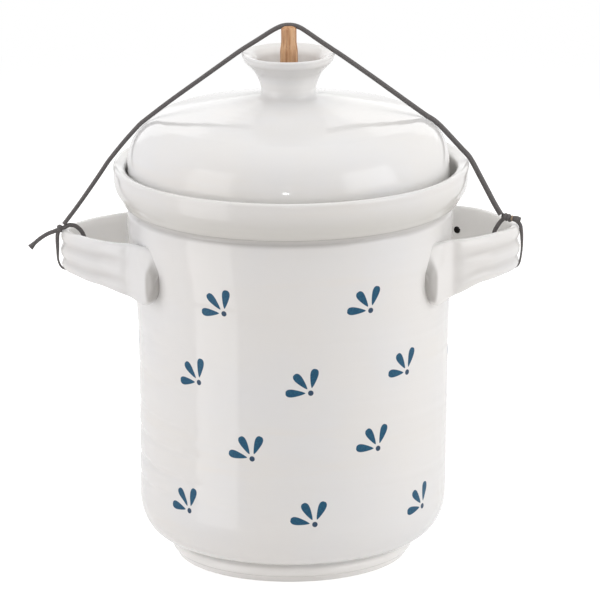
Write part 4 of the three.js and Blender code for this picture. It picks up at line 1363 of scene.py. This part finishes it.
def swept(name, points, radius=CORD_RADIUS, girth=None, material="cord"):
    """A braided cord through the points, with its own map for the braid. girth, as (share, size)
    pairs along its length, makes it thinner or thicker."""
    curve = bpy.data.curves.new(name, "CURVE")
    curve.dimensions = "3D"
    spline = curve.splines.new("POLY")
    spline.points.add(len(points) - 1)
    for point, place in zip(spline.points, points):
        point.co = (*place, 1)
    source = bpy.data.objects.new(name + "_line", curve)
    bpy.context.scene.collection.objects.link(source)
    sweep = source.modifiers.new("braid", "NODES")
    sweep.node_group = CORD_TREE
    sockets = {item.name: item.identifier for item in CORD_TREE.interface.items_tree
               if item.item_type == "SOCKET" and item.in_out == "INPUT"}
    sweep[sockets["Radius"]] = radius
    sweep[sockets["Material"]] = MATERIALS[material]
    ready = source.evaluated_get(bpy.context.evaluated_depsgraph_get())
    mesh = bpy.data.meshes.new_from_object(ready)
    mesh.name = name
    piece = bpy.data.objects.new(name, mesh)
    bpy.context.scene.collection.objects.link(piece)
    bpy.data.objects.remove(source)
    if girth is not None:
        shape_girth(mesh, np.array(points), girth)
    map_braid(mesh)
    mesh.polygons.foreach_set("use_smooth", [True] * len(mesh.polygons))
    return piece


def shape_girth(mesh, line, girth):
    """Makes the cord thinner or thicker round its middle line."""
    along = read_all(mesh.attributes["along"].data, "value")
    lengths = lengths_along(line)
    centre = line_at(line, lengths, along)
    size = np.interp(along / lengths[-1], *zip(*girth))[:, None]
    place = centre + (read_all(mesh.vertices, "co", 3) - centre) * size
    mesh.vertices.foreach_set("co", place.ravel())


def map_braid(mesh):
    """A map of the braid: turns round the cord, and metres along it."""
    owner = read_all(mesh.loops, "vertex_index", kind=int)
    turn = read_all(mesh.attributes["turn"].data, "value")[owner]
    along = read_all(mesh.attributes["along"].data, "value")[owner]
    starts = read_all(mesh.polygons, "loop_start", kind=int)
    totals = read_all(mesh.polygons, "loop_total", kind=int)
    # A face across the seam, where turn starts at 0 again, counts on to 1 instead
    widest = np.repeat(np.maximum.reduceat(turn, starts), totals)
    turn = np.where(widest - turn > 0.5, turn + 1, turn)
    layer = mesh.uv_layers.new(name="braid")
    layer.data.foreach_set("uv", np.stack([turn, along], 1).astype(np.float32).ravel())
    for name in ("turn", "along"):
        mesh.attributes.remove(mesh.attributes[name])


def knot_line(centre, size, tilt):
    """An overhand knot drawn tight."""
    points = []
    turn = Matrix.Rotation(tilt, 3, "X") @ Matrix.Rotation(math.radians(90), 3, "Y")
    for i in range(KNOT_STEPS - 1):
        t = 2 * math.pi * i / KNOT_STEPS + KNOT_START
        place = Vector((math.sin(t) + 2 * math.sin(2 * t), math.cos(t) - 2 * math.cos(2 * t),
                        -KNOT_DEPTH * math.sin(3 * t)))
        points.append(centre + turn @ (place * size))
    return points


def turns_line(start, end, turns):
    """Turns of cord laid side by side round a line."""
    axis = (end - start).normalized()
    side = axis.cross(Vector((0, 1, 0))).normalized()
    front = side.cross(axis)
    points = []
    count = int(turns * TURN_STEPS)
    for i in range(count + 1):
        angle = 2 * math.pi * turns * i / count + TURN_START
        around = side * math.cos(angle) + front * math.sin(angle)
        points.append(start.lerp(end, i / count) + around * RIGHT_TURNS_REACH)
    return points


def make_span():
    """The run from knot to knot over the rod, in stretches; the one over it follows the press."""
    span = smooth_line(SPAN_ROUTE, 900)
    x = span[:, 0]
    stretches = {
        "cord_left_low": x <= -SHOULDER_REACH,
        "cord_left_high": (x >= -SHOULDER_REACH) & (x <= -ROD_REACH),
        "cord_over_rod": (x >= -ROD_REACH) & (x <= ROD_REACH),
        "cord_right_high": (x >= ROD_REACH) & (x <= SHOULDER_REACH),
        "cord_right_low": x >= SHOULDER_REACH,
    }
    pieces = {}
    for name, kept in stretches.items():
        chosen = np.flatnonzero(kept)
        first, last = max(chosen[0] - 1, 0), min(chosen[-1] + 1, len(span) - 1)
        girth = tuple(zip((0, 1), SPAN_GIRTH[name]))
        pieces[name] = swept(name, span[first:last + 1], CORD_RADIUS, girth)
    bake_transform(pieces["cord_left_low"])
    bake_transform(pieces["cord_right_low"])
    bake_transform(pieces["cord_left_high"])
    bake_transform(pieces["cord_right_high"])
    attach(pieces["cord_over_rod"], "press")
    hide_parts("elastic_cord")


def make_cord_ends():
    """Loops round the straps, knots and free ends, which all stay on the crock."""
    left_knot = knot_line(LEFT_KNOT, LEFT_KNOT_SIZE, LEFT_KNOT_TILT)
    right_knot = turns_line(RIGHT_TURNS_START, RIGHT_TURNS_END, RIGHT_TURNS)
    ends = {
        "loop_left": (smooth_line(LEFT_LOOP_ROUTE, 220), CORD_RADIUS, PULLED_THIN, "cord_loop_left"),
        "loop_right": (smooth_line(RIGHT_LOOP_ROUTE, 220), CORD_RADIUS, PULLED_THIN, "cord_loop_right"),
        "tail_left": (smooth_line(LEFT_TAIL_ROUTE, 120), CORD_RADIUS, FRAYED, "cord_tail_left"),
        "end_right": (smooth_line(RIGHT_END_ROUTE, 60), CORD_RADIUS, CUT_END, "cord_end_right"),
        "knot_left": (left_knot, LEFT_KNOT_THICKNESS, KNOBBLY, "cord_knot_left"),
        "knot_right": (right_knot, RIGHT_TURNS_THICKNESS, KNOBBLY, "cord_knot_right"),
    }
    for name, (line, radius, girth, node) in ends.items():
        piece = swept(name, line, radius, girth)
        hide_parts(node)
        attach(piece, "crock")
    core_end = RIGHT_TURNS_END.lerp(RIGHT_TURNS_START, -CORE_PAST)
    binding = turns_line(RIGHT_TURNS_END, core_end, 1.0)
    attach(swept("knot_right_core", binding, CORE_THICKNESS, None, "rubber"), "crock")


# Floor and light
WHITE = (1, 1, 1)
FLOOR_REACH = 12
FLOOR_COLOUR = (0.93, 0.91, 0.89)
# The camera sees a floor of this colour that also glows, so that it shows white round the shadow
FLOOR_SEEN = (0.9, 0.9, 0.9)
FLOOR_GLOW = 0.54
# Past this distance from the crock the camera's floor goes over to plain white
FLOOR_LIT = 0.7
ROOM_COLOUR = (1.0, 0.975, 0.95)
ROOM_STRENGTH = 0.2
# The small low lamp whose glint shows on the lid's front: its lower edge, height and width
SPARK_LOW = 0.32
SPARK_HEIGHT = 0.08
SPARK_WIDTH = 0.25


def make_floor():
    mesh = bpy.data.meshes.new("floor")
    corners = [(x * FLOOR_REACH, y * FLOOR_REACH, 0) for x, y in ((-1, -1), (1, -1), (1, 1), (-1, 1))]
    mesh.from_pydata(corners, [], [(0, 1, 2, 3)])
    floor = bpy.data.objects.new("floor", mesh)
    bpy.context.scene.collection.objects.link(floor)
    material, net = new_material("white_table")
    matt = net.node("ShaderNodeBsdfDiffuse", {}, {"Color": (*FLOOR_COLOUR, 1)})
    pale = net.node("ShaderNodeBsdfDiffuse", {}, {"Color": (*FLOOR_SEEN, 1)})
    glow = net.node("ShaderNodeEmission", {}, {"Color": (*WHITE, 1), "Strength": FLOOR_GLOW})
    white = net.node("ShaderNodeEmission", {}, {"Color": (*WHITE, 1), "Strength": 1.0})
    x, y, _ = net.parted(net.place())
    far = ((x * x + y * y) ** 0.5).step(FLOOR_LIT, 2 * FLOOR_LIT)
    lit = net.node("ShaderNodeAddShader", {}, [pale, glow])
    lit = net.node("ShaderNodeMixShader", {}, [far, lit, white])
    seen = net.node("ShaderNodeLightPath", output="Is Camera Ray")
    net.surface(net.node("ShaderNodeMixShader", {}, [seen, matt, lit]))
    paint(floor, material)
    floor.visible_glossy = False


def make_world():
    world = bpy.data.worlds.new("studio")
    bpy.context.scene.world = world
    world.use_nodes = True
    world.node_tree.nodes.clear()
    net = Net(world.node_tree)
    camera_ray = net.node("ShaderNodeLightPath", output="Is Camera Ray")
    seen = camera_ray.maths("MAXIMUM", camera_ray.out("Is Glossy Ray"))
    seen = seen.maths("MAXIMUM", camera_ray.out("Is Transmission Ray"))
    room = {"Color": (*ROOM_COLOUR, 1), "Strength": ROOM_STRENGTH}
    fill = net.node("ShaderNodeBackground", {}, room)
    white = net.node("ShaderNodeBackground", {}, {"Color": (*WHITE, 1), "Strength": 1.0})
    mixed = net.node("ShaderNodeMixShader", {}, [seen, fill, white])
    net.node("ShaderNodeOutputWorld", {}, [mixed])


def soft_box(name, azimuth, low, high, width, radiance, seen_in, distance=2.0, colour=WHITE):
    """An upright soft box that faces the crock's axis, at an azimuth in degrees from the front. It
    either lights matt surfaces or shows in the glaze."""
    turn = math.radians(azimuth)
    middle = (low + high) / 2
    place = Vector((distance * math.sin(turn), -distance * math.cos(turn), middle))
    area_lamp(name, place, Vector((0, 0, middle)), width, high - low, radiance, seen_in, colour)


def area_lamp(name, place, aim, width, tall, radiance, seen_in, colour):
    data = bpy.data.lights.new(name, "AREA")
    data.shape = "RECTANGLE"
    data.size = width
    data.size_y = tall
    data.energy = math.pi * radiance * width * tall
    data.color = colour
    lamp = bpy.data.objects.new(name, data)
    bpy.context.scene.collection.objects.link(lamp)
    lamp.location = place
    lamp.rotation_mode = "QUATERNION"
    lamp.rotation_quaternion = (aim - place).to_track_quat("-Z", "Y")
    lamp.visible_glossy = seen_in == "glaze"
    lamp.visible_diffuse = seen_in == "matt"


def make_lights():
    soft_box("left_box", -58.5, -0.85, 1.55, 1.26, 1.22, "glaze")
    soft_box("right_box", 61, 0.2, 1.5, 1.5, 1.7, "glaze")
    soft_box("rear_box", 180, 0.45, 1.75, 3.2, 0.5, "glaze", 2.5)
    soft_box("left_fill", -80, 0, 2.2, 2.4, 1.62, "matt", colour=(1, 0.98, 1))
    soft_box("right_fill", 80, 0, 2.2, 2.4, 1.9, "matt", colour=(1, 0.985, 0.99))
    soft_box("front_fill", 0, 0, 1.2, 2.6, 1.1, "matt", 3, colour=(1, 0.97, 0.95))
    soft_box("rear_fill", 180, 0, 1.6, 2.4, 0.5, "matt", 2.5)
    area_lamp("top_box", Vector((0, 0, 2.2)), Vector(), 2.2, 2.2, 1.8, "matt", (1, 0.985, 0.975))
    soft_box("spark", -1.3, SPARK_LOW, SPARK_LOW + SPARK_HEIGHT, SPARK_WIDTH, 30, "glaze", 3)


make_crock()
make_lid()
make_handle("strap_left", "handle_left", -1, LEFT_SPREADS, LEFT_TOPS, LEFT_DEPTHS, LEFT_TURNED)
make_handle("strap_right", "handle_right", 1, RIGHT_SPREADS, RIGHT_TOPS, RIGHT_DEPTHS, 0)
make_rod()
make_plate()
make_span()
make_cord_ends()
make_floor()
make_world()
make_lights()

bpy.context.scene.view_settings.view_transform = "Standard"
